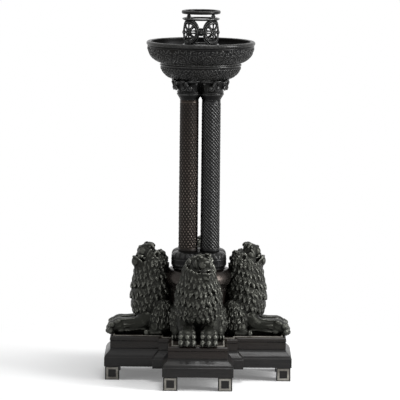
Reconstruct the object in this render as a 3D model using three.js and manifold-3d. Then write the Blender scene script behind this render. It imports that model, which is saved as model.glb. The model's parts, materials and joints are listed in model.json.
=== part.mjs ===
// Column candelabrum: a stepped cross plinth on eight feet carries four seated lions round a pedestal,
// then a cluster of four columns, two stacked bowls and a pierced candle crown that lifts out.
// Millimetres, +Z up, origin on the floor under the middle of the plinth.
import * as THREE from "three";
import { mergeVertices } from "three/addons/utils/BufferGeometryUtils.js";
import Module from "manifold-3d";

const wasm = await Module();
wasm.setup();

// Clearances: between seated pieces, round an inlaid line, and round a shank, rod or spigot.
const SEAT = 0.3;
const INLAY_PLAY = 0.15;
const SHANK_PLAY = 0.3;

// Feet and the light lines let into their outward faces.
const FOOT_SIDE = 17;
const FOOT_HEIGHT = 16;
const FOOT_SET_IN = 1.3;
const FOOT_LINE_MARGIN = 1.4;
const FOOT_LINE_WIDTH = 2.4;
const FOOT_LINE_DEPTH = 1;

// Plinth: a band, an ogee that steps in above it, and a block with a rounded cap on its top edge.
const ARM_REACH = 113;
const ARM_HALF_WIDTH = 42.3;
const CORNER_HALF_WIDTH = 54.7;
const BAND_HEIGHT = 11.2;
const OGEE_HEIGHT = 9.8;
const OGEE_SET_IN = 7.1;
const OGEE_STEPS = 5;
const BLOCK_HEIGHT = 14.4;
const CAP_HEIGHT = 5.3;
const CAP_REACH = 0.5;
const CAP_ROUNDING = 3.3;
const CAP_STEPS = 3;
const STRINGING_MARGIN = 1;
const STRINGING_WIDTH = 1.6;
const STRINGING_DEPTH = 0.8;

// Pedestal: a drum between the lions and a rounded shoulder over it.
const DRUM_RADIUS = 37.5;
const DRUM_HEIGHT = 56.4;
const DRUM_FILLET = 1.4;
const FILLET_HEIGHT = 3;
const SHOULDER_RADIUS = 43;
const SHOULDER_TOP_RADIUS = 32.5;
const SHOULDER_HEIGHT = 23.7;
const SHOULDER_NECK_HEIGHT = 4;
const SHOULDER_WIDEST = 11;

// Columns stand in a square cluster on four round bases cast in one block.
const COLUMN_PITCH = 26.4;
const COLUMN_RADIUS = 11.6;
const COLUMN_TOP_RADIUS = 11.45;
const COLUMN_COLLAR = 0.4;
const COLUMN_COLLAR_HEIGHT = 2.5;
const COLUMN_HEIGHT = 182.7;
const COLUMN_BORE = 4.2;
const BASE_RADIUS = 20.3;
const BASE_HEIGHT = 21;
const BASE_TOP_RADIUS = 13;
const BASE_ROUNDING = 9;
const BASE_FOOT_RADIUS = 18.1;
const BASE_FOOT_HEIGHT = 4.5;

// Capital block over the columns.
const CAPITAL_HEIGHT = 24;
const CAPITAL_RADIUS = 20.3;
const ASTRAGAL_RADIUS = 15.2;
const ASTRAGAL_RISE = 0.8;
const LEAF_ROOT = 12.7;
const LEAF_REACH = 22.7;
const LEAF_WIDTH = 9;
const LEAF_THICKNESS = 5.2;

// Bowls.
const LOWER_BOWL_HEIGHT = 19.1;
const LOWER_BOWL_FOOT_RADIUS = 35.5;
const LOWER_BOWL_RADIUS = 49.2;
const UPPER_BOWL_HEIGHT = 25.8;
const UPPER_BOWL_RADIUS = 65.5;
const LIP_HEIGHT = 5.3;
const LIP_ROUNDING = 1;
const BOWL_WALL = 5.5;
const BOWL_FLOOR = 8;
const BOWL_ROUNDING = 12;
const LOWER_BOWL_WALL = 3.2;
const LOWER_BOSS_RADIUS = 8;
const BOSS_RADIUS = 10;
const BOSS_TAPER = 1;
const BOSS_HEIGHT = 6.6;

// Candle crown: four spoked wheels bent round one cylinder, under a collar and a raised rim.
const CROWN_BORE = 19.5;
const CROWN_WALL = 2.6;
const WHEEL_INSET = 0.3;
const WHEEL_THICKNESS = 2;
const WHEEL_RADIUS = 15.4;
const WHEEL_RIM = 4.9;
const HUB_RADIUS = 4.3;
const HUB_RISE = 0.8;
const HUB_LAP = 1;
const HUB_TAPER = 0.8;
const SPOKES = 8;
const SPOKE_WIDTH = 2.2;
const WINDOW_CROWN = 1.4;
const KNOT_HEIGHT = 7.3;
const KNOT_LAP = 0.3;
const COLLAR_HEIGHT = 2.4;
const COLLAR_LIP = 0.5;
const COLLAR_ROUNDING = 0.5;
const RIM_HEIGHT = 4.2;
const RIM_LIP = 1.4;
const RIM_ROUNDING = 1.2;
const POST_HEIGHT = 5;
const POST_WIDTH = 4.4;
const POST_FOOT_WIDTH = 7.8;
const POST_FOOT_HEIGHT = 2.6;
const POST_DEPTH = 2.1;
const POST_LAP = 0.6;
const PAN_THICKNESS = 2.6;
const PAN_RISE = 0.9;
const PAN_STEM = 2;
const PAN_STEM_RADIUS = 9;
const PAN_STEM_FLARE = 2;
const SPIGOT_RADIUS = 6;
const SPIGOT_LENGTH = 8.5;

// Lions, measured outwards from the drum and up from the plinth.
const TRUNK_MIDDLE = 14;
const TRUNK_DEPTH = 14;
const TRUNK_HALF_WIDTH = 18;
const TRUNK_LEAN = 10;
const MANE_MIDDLE = 18;
const MANE_DEPTH = 26.3;
const MANE_HALF_WIDTH = 27.4;
const MANE_BOTTOM = 20;
const MANE_TOP = 80;
const MANE_BACK_RISE = 23;
const MANE_TOP_RISE = 4;
const MANE_TIERS = 5;
const MANE_LOCKS = 6;
const MANE_SWEEP = 125;
const LOCK_RELIEF = 1.5;
const LOCK_VARIETY = 0.35;
const LOCK_DROP = 1.2;
const LOCK_SHARE = 0.86;
const HEAD_TOP = 111;
const HEAD_LENGTH = 49;
const HEAD_WIDTH = 34.4;
const HEAD_TURN = 7;
const HAUNCH_SPREAD = 22;
const HAUNCH_PLACE = 5.5;
const HAUNCH_LENGTH = 26;
const HAUNCH_WIDTH = 21;
const HAUNCH_HEIGHT = 39.8;
const HIND_PAW_SPREAD = 25.5;
const HIND_PAW_PLACE = 13;
const HIND_PAW_LENGTH = 17;
const HIND_PAW_WIDTH = 10;
const HIND_PAW_HEIGHT = 9;
const LEG_SPACING = 25.6;
const SHOULDER_PLACE = 22;
const TOES = 3;
const PAW_WIDTH = 22;
const PAW_REACH = 75.8;
const PAW_LENGTH = 18;
const PAW_HEIGHT = 21.3;
const PAW_SOLE = 0.4;
const PAW_LAP = 7;

// Fasteners.
const TIE_ROD_RADIUS = 3;
const NUT_RADIUS = 5.2;
const NUT_HEIGHT = 4;
const ROD_END = 1.5;
const LION_SCREW_RADIUS = 2.5;
const LION_SCREW_HEAD = 4.6;
const LION_SCREW_BITE = 14;
const LION_SCREW_PLACE = 20;
const PEDESTAL_BOLT_RADIUS = 4;
const PEDESTAL_BOLT_HEAD = 8;
const BOLT_HEAD_HEIGHT = 4;
const PEDESTAL_BOLT_BITE = 16;
const BOWL_SCREW_RADIUS = 2.5;
const BOWL_SCREW_HEAD = 5;
const BOWL_SCREW_HEAD_HEIGHT = 2.4;
const BOWL_SCREW_BITE = 10;

// Length by which a cutter runs out past the surface it opens.
const OVERSHOOT = 1;

// Heights of the joints between pieces, from the floor up.
const bandBottom = FOOT_HEIGHT + SEAT;
const bandTop = bandBottom + BAND_HEIGHT;
const ogeeTop = bandTop + OGEE_HEIGHT;
const blockBottom = ogeeTop + SEAT;
const plinthTop = blockBottom + BLOCK_HEIGHT;
const drumBottom = plinthTop + SEAT;
const drumTop = drumBottom + DRUM_HEIGHT;
const shoulderBottom = drumTop + SEAT;
const shoulderTop = shoulderBottom + SHOULDER_HEIGHT;
const baseBottom = shoulderTop + SEAT;
const baseTop = baseBottom + BASE_HEIGHT;
const columnBottom = baseTop + SEAT;
const columnTop = columnBottom + COLUMN_HEIGHT;
const capitalBottom = columnTop + SEAT;
const capitalTop = capitalBottom + CAPITAL_HEIGHT;
const lowerBowlBottom = capitalTop + SEAT;
const lowerBowlTop = lowerBowlBottom + LOWER_BOWL_HEIGHT;
const upperBowlBottom = lowerBowlTop + SEAT;
const upperBowlTop = upperBowlBottom + UPPER_BOWL_HEIGHT;
const bowlFloor = upperBowlBottom + BOWL_FLOOR;
const bossTop = bowlFloor + BOSS_HEIGHT;
const stemBottom = bossTop + SEAT;
const panBottom = stemBottom + PAN_STEM;
const panTop = panBottom + PAN_THICKNESS;
const galleryBottom = panTop + SEAT;
const wheelMiddle = galleryBottom + COLLAR_HEIGHT / 2 + WHEEL_RADIUS;
const collarBottom = wheelMiddle + WHEEL_RADIUS - COLLAR_HEIGHT / 4;
const collarTop = collarBottom + COLLAR_HEIGHT;
const rimBottom = collarTop + POST_HEIGHT;
const socketBottom = stemBottom - SPIGOT_LENGTH - SEAT - BOWL_SCREW_HEAD_HEIGHT - SEAT;
const columnPlace = COLUMN_PITCH / 2;
const crownRadius = CROWN_BORE + CROWN_WALL;

const quarterTurns = [0, 1, 2, 3].map((count) => (count * Math.PI) / 2);

// Facets round the turned pieces.
const BOWL_FACETS = 28;
const PEDESTAL_FACETS = 24;
const COLUMN_FACETS = 12;
const RING_FACETS = 20;
const SHANK_FACETS = 6;
const POST_FACETS = 8;
const HUB_FACETS = 6;
const LEG_FACETS = 8;
const NUT_SIDES = 6;
const WHEEL_ARC_STEPS = 8;

// Facets of a joined casting are merged where they lie this close to one plane.
const LION_FLATNESS = 0.4;
const CROWN_FLATNESS = 0.1;

// Materials.
const ebony = new THREE.MeshStandardMaterial({ color: 0x24211f, roughness: 0.4, metalness: 0 });
const ebonyBlock = new THREE.MeshStandardMaterial({ color: 0x2c2220, roughness: 0.4, metalness: 0 });
const paleLine = new THREE.MeshStandardMaterial({ color: 0xcfc9bb, roughness: 0.5, metalness: 0 });
const lionBronze = new THREE.MeshStandardMaterial({ color: 0x3c3d36, roughness: 0.5, metalness: 0.7 });
const darkBronze = new THREE.MeshStandardMaterial({ color: 0x323234, roughness: 0.45, metalness: 0.7 });
const brownBronze = new THREE.MeshStandardMaterial({ color: 0x3d3431, roughness: 0.45, metalness: 0.7 });
const steel = new THREE.MeshStandardMaterial({ color: 0x6f7174, roughness: 0.4, metalness: 0.9 });

const candelabrum = new THREE.Group();

// Turns a closed geometry into a solid that can be joined and cut, with its faces pointing out.
function solidOf(geometry) {
  const bare = new THREE.BufferGeometry();
  bare.setAttribute("position", geometry.getAttribute("position"));
  bare.setIndex(geometry.index);
  const merged = mergeVertices(bare, 1e-3);
  const points = merged.getAttribute("position").array;
  const corners = [];
  for (let i = 0; i < merged.index.count; i += 3) {
    const [a, b, c] = [0, 1, 2].map((step) => merged.index.getX(i + step));
    if (a !== b && b !== c && c !== a) corners.push(a, b, c);
  }
  if (signedVolume(points, corners) < 0) corners.reverse();
  return new wasm.Manifold(
    new wasm.Mesh({
      numProp: 3,
      vertProperties: new Float32Array(points),
      triVerts: new Uint32Array(corners),
    }),
  );
}

function signedVolume(points, corners) {
  const corner = (index) => new THREE.Vector3().fromArray(points, index * 3);
  let sum = 0;
  for (let i = 0; i < corners.length; i += 3) {
    const a = corner(corners[i]);
    const b = corner(corners[i + 1]);
    const c = corner(corners[i + 2]);
    sum += a.dot(b.cross(c)) / 6;
  }
  return sum;
}

// Adds a finished solid to the model as a named piece, turned about the vertical axis if need be.
function addPiece(name, solid, material, turn = 0) {
  const mesh = solid.getMesh();
  const indexed = new THREE.BufferGeometry();
  indexed.setAttribute("position", new THREE.BufferAttribute(new Float32Array(mesh.vertProperties), 3));
  indexed.setIndex(new THREE.BufferAttribute(new Uint32Array(mesh.triVerts), 1));
  const geometry = indexed.toNonIndexed();
  geometry.computeVertexNormals();
  const piece = new THREE.Mesh(geometry, material);
  piece.name = name;
  piece.rotation.z = turn;
  candelabrum.add(piece);
}

const joined = (solids) => solids.reduce((whole, solid) => whole.add(solid));
const cutBy = (solid, tools) => tools.reduce((rest, tool) => rest.subtract(tool), solid);

// A turned solid about the Z axis through [radius, height] points, shifted to (x, y).
function turned(profile, segments, x = 0, y = 0) {
  const points = profile.map(([radius, height]) => new THREE.Vector2(radius, height));
  const geometry = new THREE.LatheGeometry(points, segments);
  geometry.rotateX(Math.PI / 2);
  geometry.translate(x, y, 0);
  return solidOf(geometry);
}

function upright(radius, bottom, top, sides = SHANK_FACETS, x = 0, y = 0) {
  const geometry = new THREE.CylinderGeometry(radius, radius, top - bottom, sides);
  geometry.rotateX(Math.PI / 2);
  geometry.translate(x, y, (bottom + top) / 2);
  return solidOf(geometry);
}

function block(low, high) {
  const size = high.map((value, axis) => value - low[axis]);
  const geometry = new THREE.BoxGeometry(...size);
  geometry.translate(...high.map((value, axis) => (value + low[axis]) / 2));
  return solidOf(geometry);
}

// An egg-shaped lump with its middle and its three half sizes.
function lump(middle, halves, around, up) {
  const geometry = new THREE.SphereGeometry(1, around, up);
  geometry.rotateX(Math.PI / 2);
  geometry.scale(...halves);
  geometry.translate(...middle);
  return solidOf(geometry);
}

// A closed solid through rings of equal point count, closed by a fan over each end.
function lofted(rings) {
  const count = rings[0].length;
  const middles = [rings[0], rings.at(-1)].map((ring) =>
    ring.reduce((sum, point) => sum.add(point), new THREE.Vector3()).divideScalar(count),
  );
  const points = [...rings.flat(), ...middles];
  const first = rings.length * count;
  const last = first + 1;
  const top = first - count;
  const corners = [];
  for (let i = 0; i < count; i += 1) {
    const next = (i + 1) % count;
    for (let ring = 0; ring < top; ring += count) {
      corners.push(ring + i, ring + next, ring + count + next);
      corners.push(ring + i, ring + count + next, ring + count + i);
    }
    corners.push(first, next, i);
    corners.push(last, top + i, top + next);
  }
  const geometry = new THREE.BufferGeometry().setFromPoints(points);
  geometry.setIndex(corners);
  return solidOf(geometry);
}

// Straight-line reading between [place, value] stations.
function between(stations, place) {
  const after = stations.findIndex(([start]) => start > place);
  if (after === 0) return stations[0][1];
  if (after < 0) return stations.at(-1)[1];
  const [[low, lowValue], [high, highValue]] = [stations[after - 1], stations[after]];
  return THREE.MathUtils.mapLinear(place, low, high, lowValue, highValue);
}

// Plan of the plinth: four arms crossing a central square, set in by the same amount all round.
function crossOutline(setIn) {
  const reach = ARM_REACH - setIn;
  const half = ARM_HALF_WIDTH - setIn;
  const corner = CORNER_HALF_WIDTH - setIn;
  const quarter = [
    [reach, -half],
    [reach, half],
    [corner, half],
    [corner, corner],
    [half, corner],
  ];
  return quarterTurns.flatMap((turn) =>
    quarter.map(([x, y]) => new THREE.Vector2(x, y).rotateAround(new THREE.Vector2(), turn)),
  );
}

// A closed solid on the plinth's plan through [height, set in] levels.
function crossStack(levels) {
  const outlines = levels.map(([, setIn]) => crossOutline(setIn));
  const count = outlines[0].length;
  const points = outlines.flatMap((outline, level) =>
    outline.map((point) => new THREE.Vector3(point.x, point.y, levels[level][0])),
  );
  const top = (levels.length - 1) * count;
  const corners = [];
  for (let ring = 0; ring < top; ring += count) {
    for (let i = 0; i < count; i += 1) {
      const next = (i + 1) % count;
      corners.push(ring + i, ring + next, ring + count + next);
      corners.push(ring + i, ring + count + next, ring + count + i);
    }
  }
  for (const [a, b, c] of THREE.ShapeUtils.triangulateShape(outlines[0], [])) corners.push(c, b, a);
  for (const face of THREE.ShapeUtils.triangulateShape(outlines.at(-1), [])) {
    corners.push(...face.map((index) => top + index));
  }
  const geometry = new THREE.BufferGeometry().setFromPoints(points);
  geometry.setIndex(corners);
  return solidOf(geometry);
}

// A cutter for a clear hole: no part of its flats comes nearer than the play to a shank of this radius.
function bore(radius, bottom, top, x = 0, y = 0) {
  const flats = (radius + SHANK_PLAY) / Math.cos(Math.PI / SHANK_FACETS);
  return upright(flats, bottom, top, SHANK_FACETS, x, y);
}

// Hole under the plinth for a screw or bolt, wider where its head sits.
function screwWay(radius, headRadius, x) {
  const head = bore(headRadius, bandBottom - OVERSHOOT, bandBottom + BOLT_HEAD_HEIGHT + SEAT, x);
  return head.add(bore(radius, bandBottom, plinthTop + OVERSHOOT, x));
}

const lionScrewX = DRUM_RADIUS + LION_SCREW_PLACE;
const lionScrewTop = plinthTop + SEAT + LION_SCREW_BITE;
const pedestalBoltTop = shoulderBottom + PEDESTAL_BOLT_BITE;

function turnedAbout(solid, turn) {
  const mesh = solid.getMesh();
  const geometry = new THREE.BufferGeometry();
  geometry.setAttribute("position", new THREE.BufferAttribute(new Float32Array(mesh.vertProperties), 3));
  geometry.setIndex(new THREE.BufferAttribute(new Uint32Array(mesh.triVerts), 1));
  geometry.rotateZ(turn);
  return solidOf(geometry);
}

function plinthWays() {
  const lionWay = screwWay(LION_SCREW_RADIUS, LION_SCREW_HEAD, lionScrewX);
  const ways = quarterTurns.map((turn) => turnedAbout(lionWay, turn));
  return [...ways, screwWay(PEDESTAL_BOLT_RADIUS, PEDESTAL_BOLT_HEAD, 0)];
}

function makePlinth() {
  const ogee = Array.from({ length: OGEE_STEPS + 1 }, (_, step) => {
    const share = step / OGEE_STEPS;
    return [bandTop + OGEE_HEIGHT * share, (OGEE_SET_IN * (1 - Math.cos(Math.PI * share))) / 2];
  });
  const ways = plinthWays();
  addPiece("plinth_moulding", cutBy(crossStack([[bandBottom, 0], ...ogee]), ways), ebony);

  const capBottom = plinthTop - CAP_HEIGHT;
  const capFace = OGEE_SET_IN - CAP_REACH;
  const roundingBottom = plinthTop - CAP_ROUNDING;
  const rounding = Array.from({ length: CAP_STEPS + 1 }, (_, step) => {
    const angle = (step / CAP_STEPS) * (Math.PI / 2);
    return [roundingBottom + CAP_ROUNDING * Math.sin(angle), capFace + CAP_ROUNDING * (1 - Math.cos(angle))];
  });
  const blockStack = crossStack([
    [blockBottom, OGEE_SET_IN],
    [capBottom, OGEE_SET_IN],
    [capBottom + CAP_REACH, capFace],
    ...rounding,
  ]);
  const lineEdge = capFace + CAP_ROUNDING + STRINGING_MARGIN;
  const groove = crossRing(
    lineEdge - INLAY_PLAY,
    lineEdge + STRINGING_WIDTH + INLAY_PLAY,
    plinthTop - STRINGING_DEPTH - INLAY_PLAY,
    plinthTop + OVERSHOOT,
  );
  addPiece("plinth_block", cutBy(blockStack, [groove, ...ways]), ebonyBlock);
  const line = crossRing(lineEdge, lineEdge + STRINGING_WIDTH, plinthTop - STRINGING_DEPTH, plinthTop);
  addPiece("plinth_stringing", line, paleLine);
}

function crossRing(outerSetIn, innerSetIn, bottom, top) {
  const outer = crossStack([[bottom, outerSetIn], [top, outerSetIn]]);
  return outer.subtract(crossStack([[bottom - OVERSHOOT, innerSetIn], [top + OVERSHOOT, innerSetIn]]));
}

function squarePath(half) {
  const signs = [[-1, -1], [1, -1], [1, 1], [-1, 1]];
  return signs.map(([x, y]) => new THREE.Vector2(x * half, y * half));
}

// A square frame lying behind the plane z = proud, its middle on the Z axis.
function squareFrame(half, width, depth, proud = 0) {
  const shape = new THREE.Shape(squarePath(half));
  shape.holes.push(new THREE.Path(squarePath(half - width)));
  const geometry = new THREE.ExtrudeGeometry(shape, { depth: depth + proud, bevelEnabled: false });
  geometry.translate(0, 0, -depth);
  return geometry;
}

// The line on a foot's end face (+X) or on its side face, towards side = -1 or +1 in Y.
function footLine(face, side, x, y, play, proud) {
  const half = FOOT_SIDE / 2 - FOOT_LINE_MARGIN;
  const geometry = squareFrame(half + play, FOOT_LINE_WIDTH + 2 * play, FOOT_LINE_DEPTH + play, proud);
  if (face === "end") {
    geometry.rotateY(Math.PI / 2);
    geometry.translate(x + FOOT_SIDE / 2, y, FOOT_HEIGHT / 2);
  } else {
    geometry.rotateX((-side * Math.PI) / 2);
    geometry.translate(x, y + (side * FOOT_SIDE) / 2, FOOT_HEIGHT / 2);
  }
  return solidOf(geometry);
}

function makeFeet() {
  const arms = [
    { name: "right", sides: { "-1": "front", 1: "back" } },
    { name: "back", sides: { "-1": "right", 1: "left" } },
    { name: "left", sides: { "-1": "back", 1: "front" } },
    { name: "front", sides: { "-1": "left", 1: "right" } },
  ];
  const x = ARM_REACH - FOOT_SET_IN - FOOT_SIDE / 2;
  for (const [index, arm] of arms.entries()) {
    for (const side of [-1, 1]) {
      const y = side * (ARM_HALF_WIDTH - FOOT_SET_IN - FOOT_SIDE / 2);
      const low = [x - FOOT_SIDE / 2, y - FOOT_SIDE / 2, 0];
      const high = [x + FOOT_SIDE / 2, y + FOOT_SIDE / 2, FOOT_HEIGHT];
      const name = `foot_${arm.name}_${arm.sides[side]}`;
      const grooves = ["end", "side"].map((face) => footLine(face, side, x, y, INLAY_PLAY, OVERSHOOT));
      addPiece(name, cutBy(block(low, high), grooves), ebony, quarterTurns[index]);
      for (const face of ["end", "side"]) {
        addPiece(`${name}_${face}_line`, footLine(face, side, x, y, 0, 0), paleLine, quarterTurns[index]);
      }
    }
  }
}

// The drum's outline, with a plain fillet round its foot and its top.
function drumProfile() {
  const fillet = DRUM_RADIUS + DRUM_FILLET;
  const slope = FILLET_HEIGHT + DRUM_FILLET;
  return [
    [0, drumBottom],
    [fillet, drumBottom],
    [fillet, drumBottom + FILLET_HEIGHT],
    [DRUM_RADIUS, drumBottom + slope],
    [DRUM_RADIUS, drumTop - slope],
    [fillet, drumTop - FILLET_HEIGHT],
    [fillet, drumTop],
    [0, drumTop],
  ];
}

// Points of a quarter ellipse at shares of its sweep, from [radius, height] to [radius, height].
function quarterCurve([startRadius, startHeight], [endRadius, endHeight], shares) {
  return shares.map((share) => {
    const angle = (share * Math.PI) / 2;
    return [
      endRadius + (startRadius - endRadius) * Math.cos(angle),
      startHeight + (endHeight - startHeight) * Math.sin(angle),
    ];
  });
}

// The shoulder's outline: an upright neck, a quick swell to the widest place, a long curve in to the top.
function shoulderProfile() {
  const neck = DRUM_RADIUS + DRUM_FILLET;
  const widest = [SHOULDER_RADIUS, shoulderBottom + SHOULDER_WIDEST];
  const swellBottom = [neck, shoulderBottom + SHOULDER_NECK_HEIGHT];
  return [
    [0, shoulderBottom],
    [neck, shoulderBottom],
    ...quarterCurve(widest, swellBottom, [1, 0.67, 0.33, 0]),
    ...quarterCurve(widest, [SHOULDER_TOP_RADIUS, shoulderTop], [0.3, 0.6, 0.85, 1]),
    [0, shoulderTop],
  ];
}

function makePedestal() {
  const way = bore(PEDESTAL_BOLT_RADIUS, plinthTop, pedestalBoltTop + SHANK_PLAY);
  addPiece("pedestal_drum", cutBy(turned(drumProfile(), PEDESTAL_FACETS), [way]), darkBronze);
  addPiece("pedestal_shoulder", cutBy(turned(shoulderProfile(), PEDESTAL_FACETS), [way]), darkBronze);
  const head = upright(PEDESTAL_BOLT_HEAD, bandBottom, bandBottom + BOLT_HEAD_HEIGHT, NUT_SIDES);
  addPiece("pedestal_bolt", head.add(upright(PEDESTAL_BOLT_RADIUS, bandBottom, pedestalBoltTop)), steel);
}

const columnPlaces = [
  { name: "front_left", x: -columnPlace, y: -columnPlace, material: brownBronze },
  { name: "front_right", x: columnPlace, y: -columnPlace, material: darkBronze },
  { name: "back_right", x: columnPlace, y: columnPlace, material: brownBronze },
  { name: "back_left", x: -columnPlace, y: columnPlace, material: darkBronze },
];

const rodWay = (place) => bore(TIE_ROD_RADIUS, baseBottom - OVERSHOOT, lowerBowlTop, place.x, place.y);

// The four bases under the columns: each flares out from its foot and rounds over at its top.
function baseBlockSolid() {
  const roundingBottom = [BASE_RADIUS, baseTop - BASE_ROUNDING];
  const profile = [
    [0, baseBottom],
    [BASE_FOOT_RADIUS, baseBottom],
    [BASE_RADIUS, baseBottom + BASE_FOOT_HEIGHT],
    ...quarterCurve(roundingBottom, [BASE_TOP_RADIUS, baseTop], [0, 0.35, 0.7, 1]),
    [0, baseTop],
  ];
  return joined(columnPlaces.map((place) => turned(profile, COLUMN_FACETS, place.x, place.y)));
}

function makeColumns() {
  const recesses = columnPlaces.map((place) =>
    bore(NUT_RADIUS, baseBottom - OVERSHOOT, baseBottom + NUT_HEIGHT + SEAT, place.x, place.y),
  );
  const ways = columnPlaces.map(rodWay);
  addPiece("column_base", cutBy(baseBlockSolid(), [...recesses, ...ways]), darkBronze);
  const profile = [
    [COLUMN_BORE, columnBottom],
    [COLUMN_RADIUS + COLUMN_COLLAR, columnBottom],
    [COLUMN_RADIUS, columnBottom + COLUMN_COLLAR_HEIGHT],
    [COLUMN_TOP_RADIUS, columnTop],
    [COLUMN_BORE, columnTop],
    [COLUMN_BORE, columnBottom],
  ];
  for (const place of columnPlaces) {
    addPiece(`column_${place.name}`, turned(profile, COLUMN_FACETS, place.x, place.y), place.material);
    makeTieRod(place);
  }
}

function makeTieRod(place) {
  const nutBottom = lowerBowlBottom + LOWER_BOWL_WALL + SEAT;
  const rodTop = nutBottom + NUT_HEIGHT + ROD_END;
  const head = upright(NUT_RADIUS, baseBottom, baseBottom + NUT_HEIGHT, NUT_SIDES, place.x, place.y);
  const shank = upright(TIE_ROD_RADIUS, baseBottom, rodTop, SHANK_FACETS, place.x, place.y);
  addPiece(`tie_rod_${place.name}`, head.add(shank), steel);
  const nut = upright(NUT_RADIUS, nutBottom, nutBottom + NUT_HEIGHT, NUT_SIDES, place.x, place.y);
  addPiece(`tie_nut_${place.name}`, nut.subtract(rodWay(place)), steel);
}

// One leaf on the capital, standing up from the astragal and curling out under the bowl.
function capitalLeaf(place, heading) {
  const low = capitalBottom + CAPITAL_HEIGHT * 0.42;
  const height = capitalTop - low;
  const stations = [
    { out: 0, up: 0, width: 1 },
    { out: 0.4, up: 0.35, width: 1 },
    { out: 0.7, up: 0.68, width: 1 },
    { out: 1, up: 0.84, width: 0.6 },
  ];
  const outline = [[-0.5, -0.5], [0.5, -0.5], [0.5, 0.5], [-0.5, 0.5]];
  const rings = stations.map(({ out, up, width }) =>
    outline.map(([across, through]) => {
      const reach = THREE.MathUtils.lerp(LEAF_ROOT, LEAF_REACH, out) + through * LEAF_THICKNESS;
      const z = low + height * up - (through * LEAF_THICKNESS) / 2;
      const point = new THREE.Vector3(reach, across * width * LEAF_WIDTH, z);
      point.applyAxisAngle(new THREE.Vector3(0, 0, 1), heading);
      return point.add(new THREE.Vector3(place.x, place.y, 0));
    }),
  );
  return lofted(rings);
}

function makeCapital() {
  const rise = (part) => capitalBottom + CAPITAL_HEIGHT * part;
  const neck = ASTRAGAL_RADIUS - ASTRAGAL_RISE;
  const bell = (part) => THREE.MathUtils.lerp(neck, CAPITAL_RADIUS, part);
  const profile = [
    [0, capitalBottom],
    [COLUMN_TOP_RADIUS, capitalBottom],
    [THREE.MathUtils.lerp(COLUMN_TOP_RADIUS, ASTRAGAL_RADIUS, 0.7), rise(0.2)],
    [ASTRAGAL_RADIUS, rise(0.29)],
    [ASTRAGAL_RADIUS, rise(0.36)],
    [neck, rise(0.4)],
    [bell(0.38), rise(0.5)],
    [bell(0.7), rise(0.78)],
    [bell(1), rise(0.95)],
    [bell(1), capitalTop],
    [0, capitalTop],
  ];
  const bells = columnPlaces.map((place) => turned(profile, COLUMN_FACETS, place.x, place.y));
  const leaves = columnPlaces.map((place) => capitalLeaf(place, Math.atan2(place.y, place.x)));
  addPiece("capital_block", cutBy(joined([...bells, ...leaves]), columnPlaces.map(rodWay)), darkBronze);
}

function makeLowerBowl() {
  const rise = (part) => lowerBowlBottom + LOWER_BOWL_HEIGHT * part;
  const swell = LOWER_BOWL_RADIUS - LOWER_BOWL_FOOT_RADIUS;
  const reach = (part) => LOWER_BOWL_FOOT_RADIUS + swell * part;
  const holeRadius = BOWL_SCREW_RADIUS + SHANK_PLAY;
  const profile = [
    [0, lowerBowlBottom],
    [reach(0), lowerBowlBottom],
    [reach(0.46), rise(0.22)],
    [reach(0.74), rise(0.41)],
    [reach(0.89), rise(0.6)],
    [reach(0.95), rise(0.79)],
    [reach(1), rise(0.92)],
    [reach(1), lowerBowlTop],
    [reach(1) - LOWER_BOWL_WALL, lowerBowlTop],
    [reach(0.82) - LOWER_BOWL_WALL, rise(0.6)],
    [reach(0.2) - LOWER_BOWL_WALL, lowerBowlBottom + LOWER_BOWL_WALL],
    [LOWER_BOSS_RADIUS, lowerBowlBottom + LOWER_BOWL_WALL],
    [LOWER_BOSS_RADIUS, lowerBowlTop],
    [holeRadius, lowerBowlTop],
    [holeRadius, lowerBowlTop - BOWL_SCREW_BITE - SHANK_PLAY],
    [0, lowerBowlTop - BOWL_SCREW_BITE - SHANK_PLAY],
  ];
  addPiece("lower_bowl", cutBy(turned(profile, BOWL_FACETS - 4), columnPlaces.map(rodWay)), darkBronze);
}

function makeUpperBowl() {
  const lipBottom = upperBowlTop - LIP_HEIGHT;
  const swell = UPPER_BOWL_RADIUS - LOWER_BOWL_RADIUS;
  const depth = lipBottom - upperBowlBottom;
  const rise = (part) => upperBowlBottom + depth * part;
  const reach = (part) => LOWER_BOWL_RADIUS + swell * part;
  const inside = UPPER_BOWL_RADIUS - BOWL_WALL;
  const floorEdge = [inside - BOWL_ROUNDING, bowlFloor];
  const socketRadius = SPIGOT_RADIUS + SHANK_PLAY;
  const holeRadius = BOWL_SCREW_RADIUS + SHANK_PLAY;
  const profile = [
    [holeRadius, upperBowlBottom],
    [reach(0), upperBowlBottom],
    [reach(0.36), rise(0.16)],
    [reach(0.62), rise(0.33)],
    [reach(0.77), rise(0.5)],
    [reach(0.92), rise(0.8)],
    [reach(0.97), lipBottom],
    [reach(1), lipBottom + LIP_ROUNDING],
    [reach(1), upperBowlTop - LIP_ROUNDING],
    [reach(1) - LIP_ROUNDING, upperBowlTop],
    [inside, upperBowlTop],
    ...quarterCurve([inside, bowlFloor + BOWL_ROUNDING], floorEdge, [0, 0.4, 0.7, 1]),
    [BOSS_RADIUS + BOSS_TAPER, bowlFloor],
    [BOSS_RADIUS, bossTop],
    [socketRadius, bossTop],
    [socketRadius, socketBottom],
    [holeRadius, socketBottom],
    [holeRadius, upperBowlBottom],
  ];
  addPiece("upper_bowl", turned(profile, BOWL_FACETS), darkBronze);
  const headBottom = socketBottom + SEAT;
  const head = upright(BOWL_SCREW_HEAD, headBottom, headBottom + BOWL_SCREW_HEAD_HEIGHT, COLUMN_FACETS);
  const shank = upright(BOWL_SCREW_RADIUS, lowerBowlTop - BOWL_SCREW_BITE, headBottom + OVERSHOOT);
  addPiece("bowl_screw", head.add(shank), steel);
}

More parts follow.
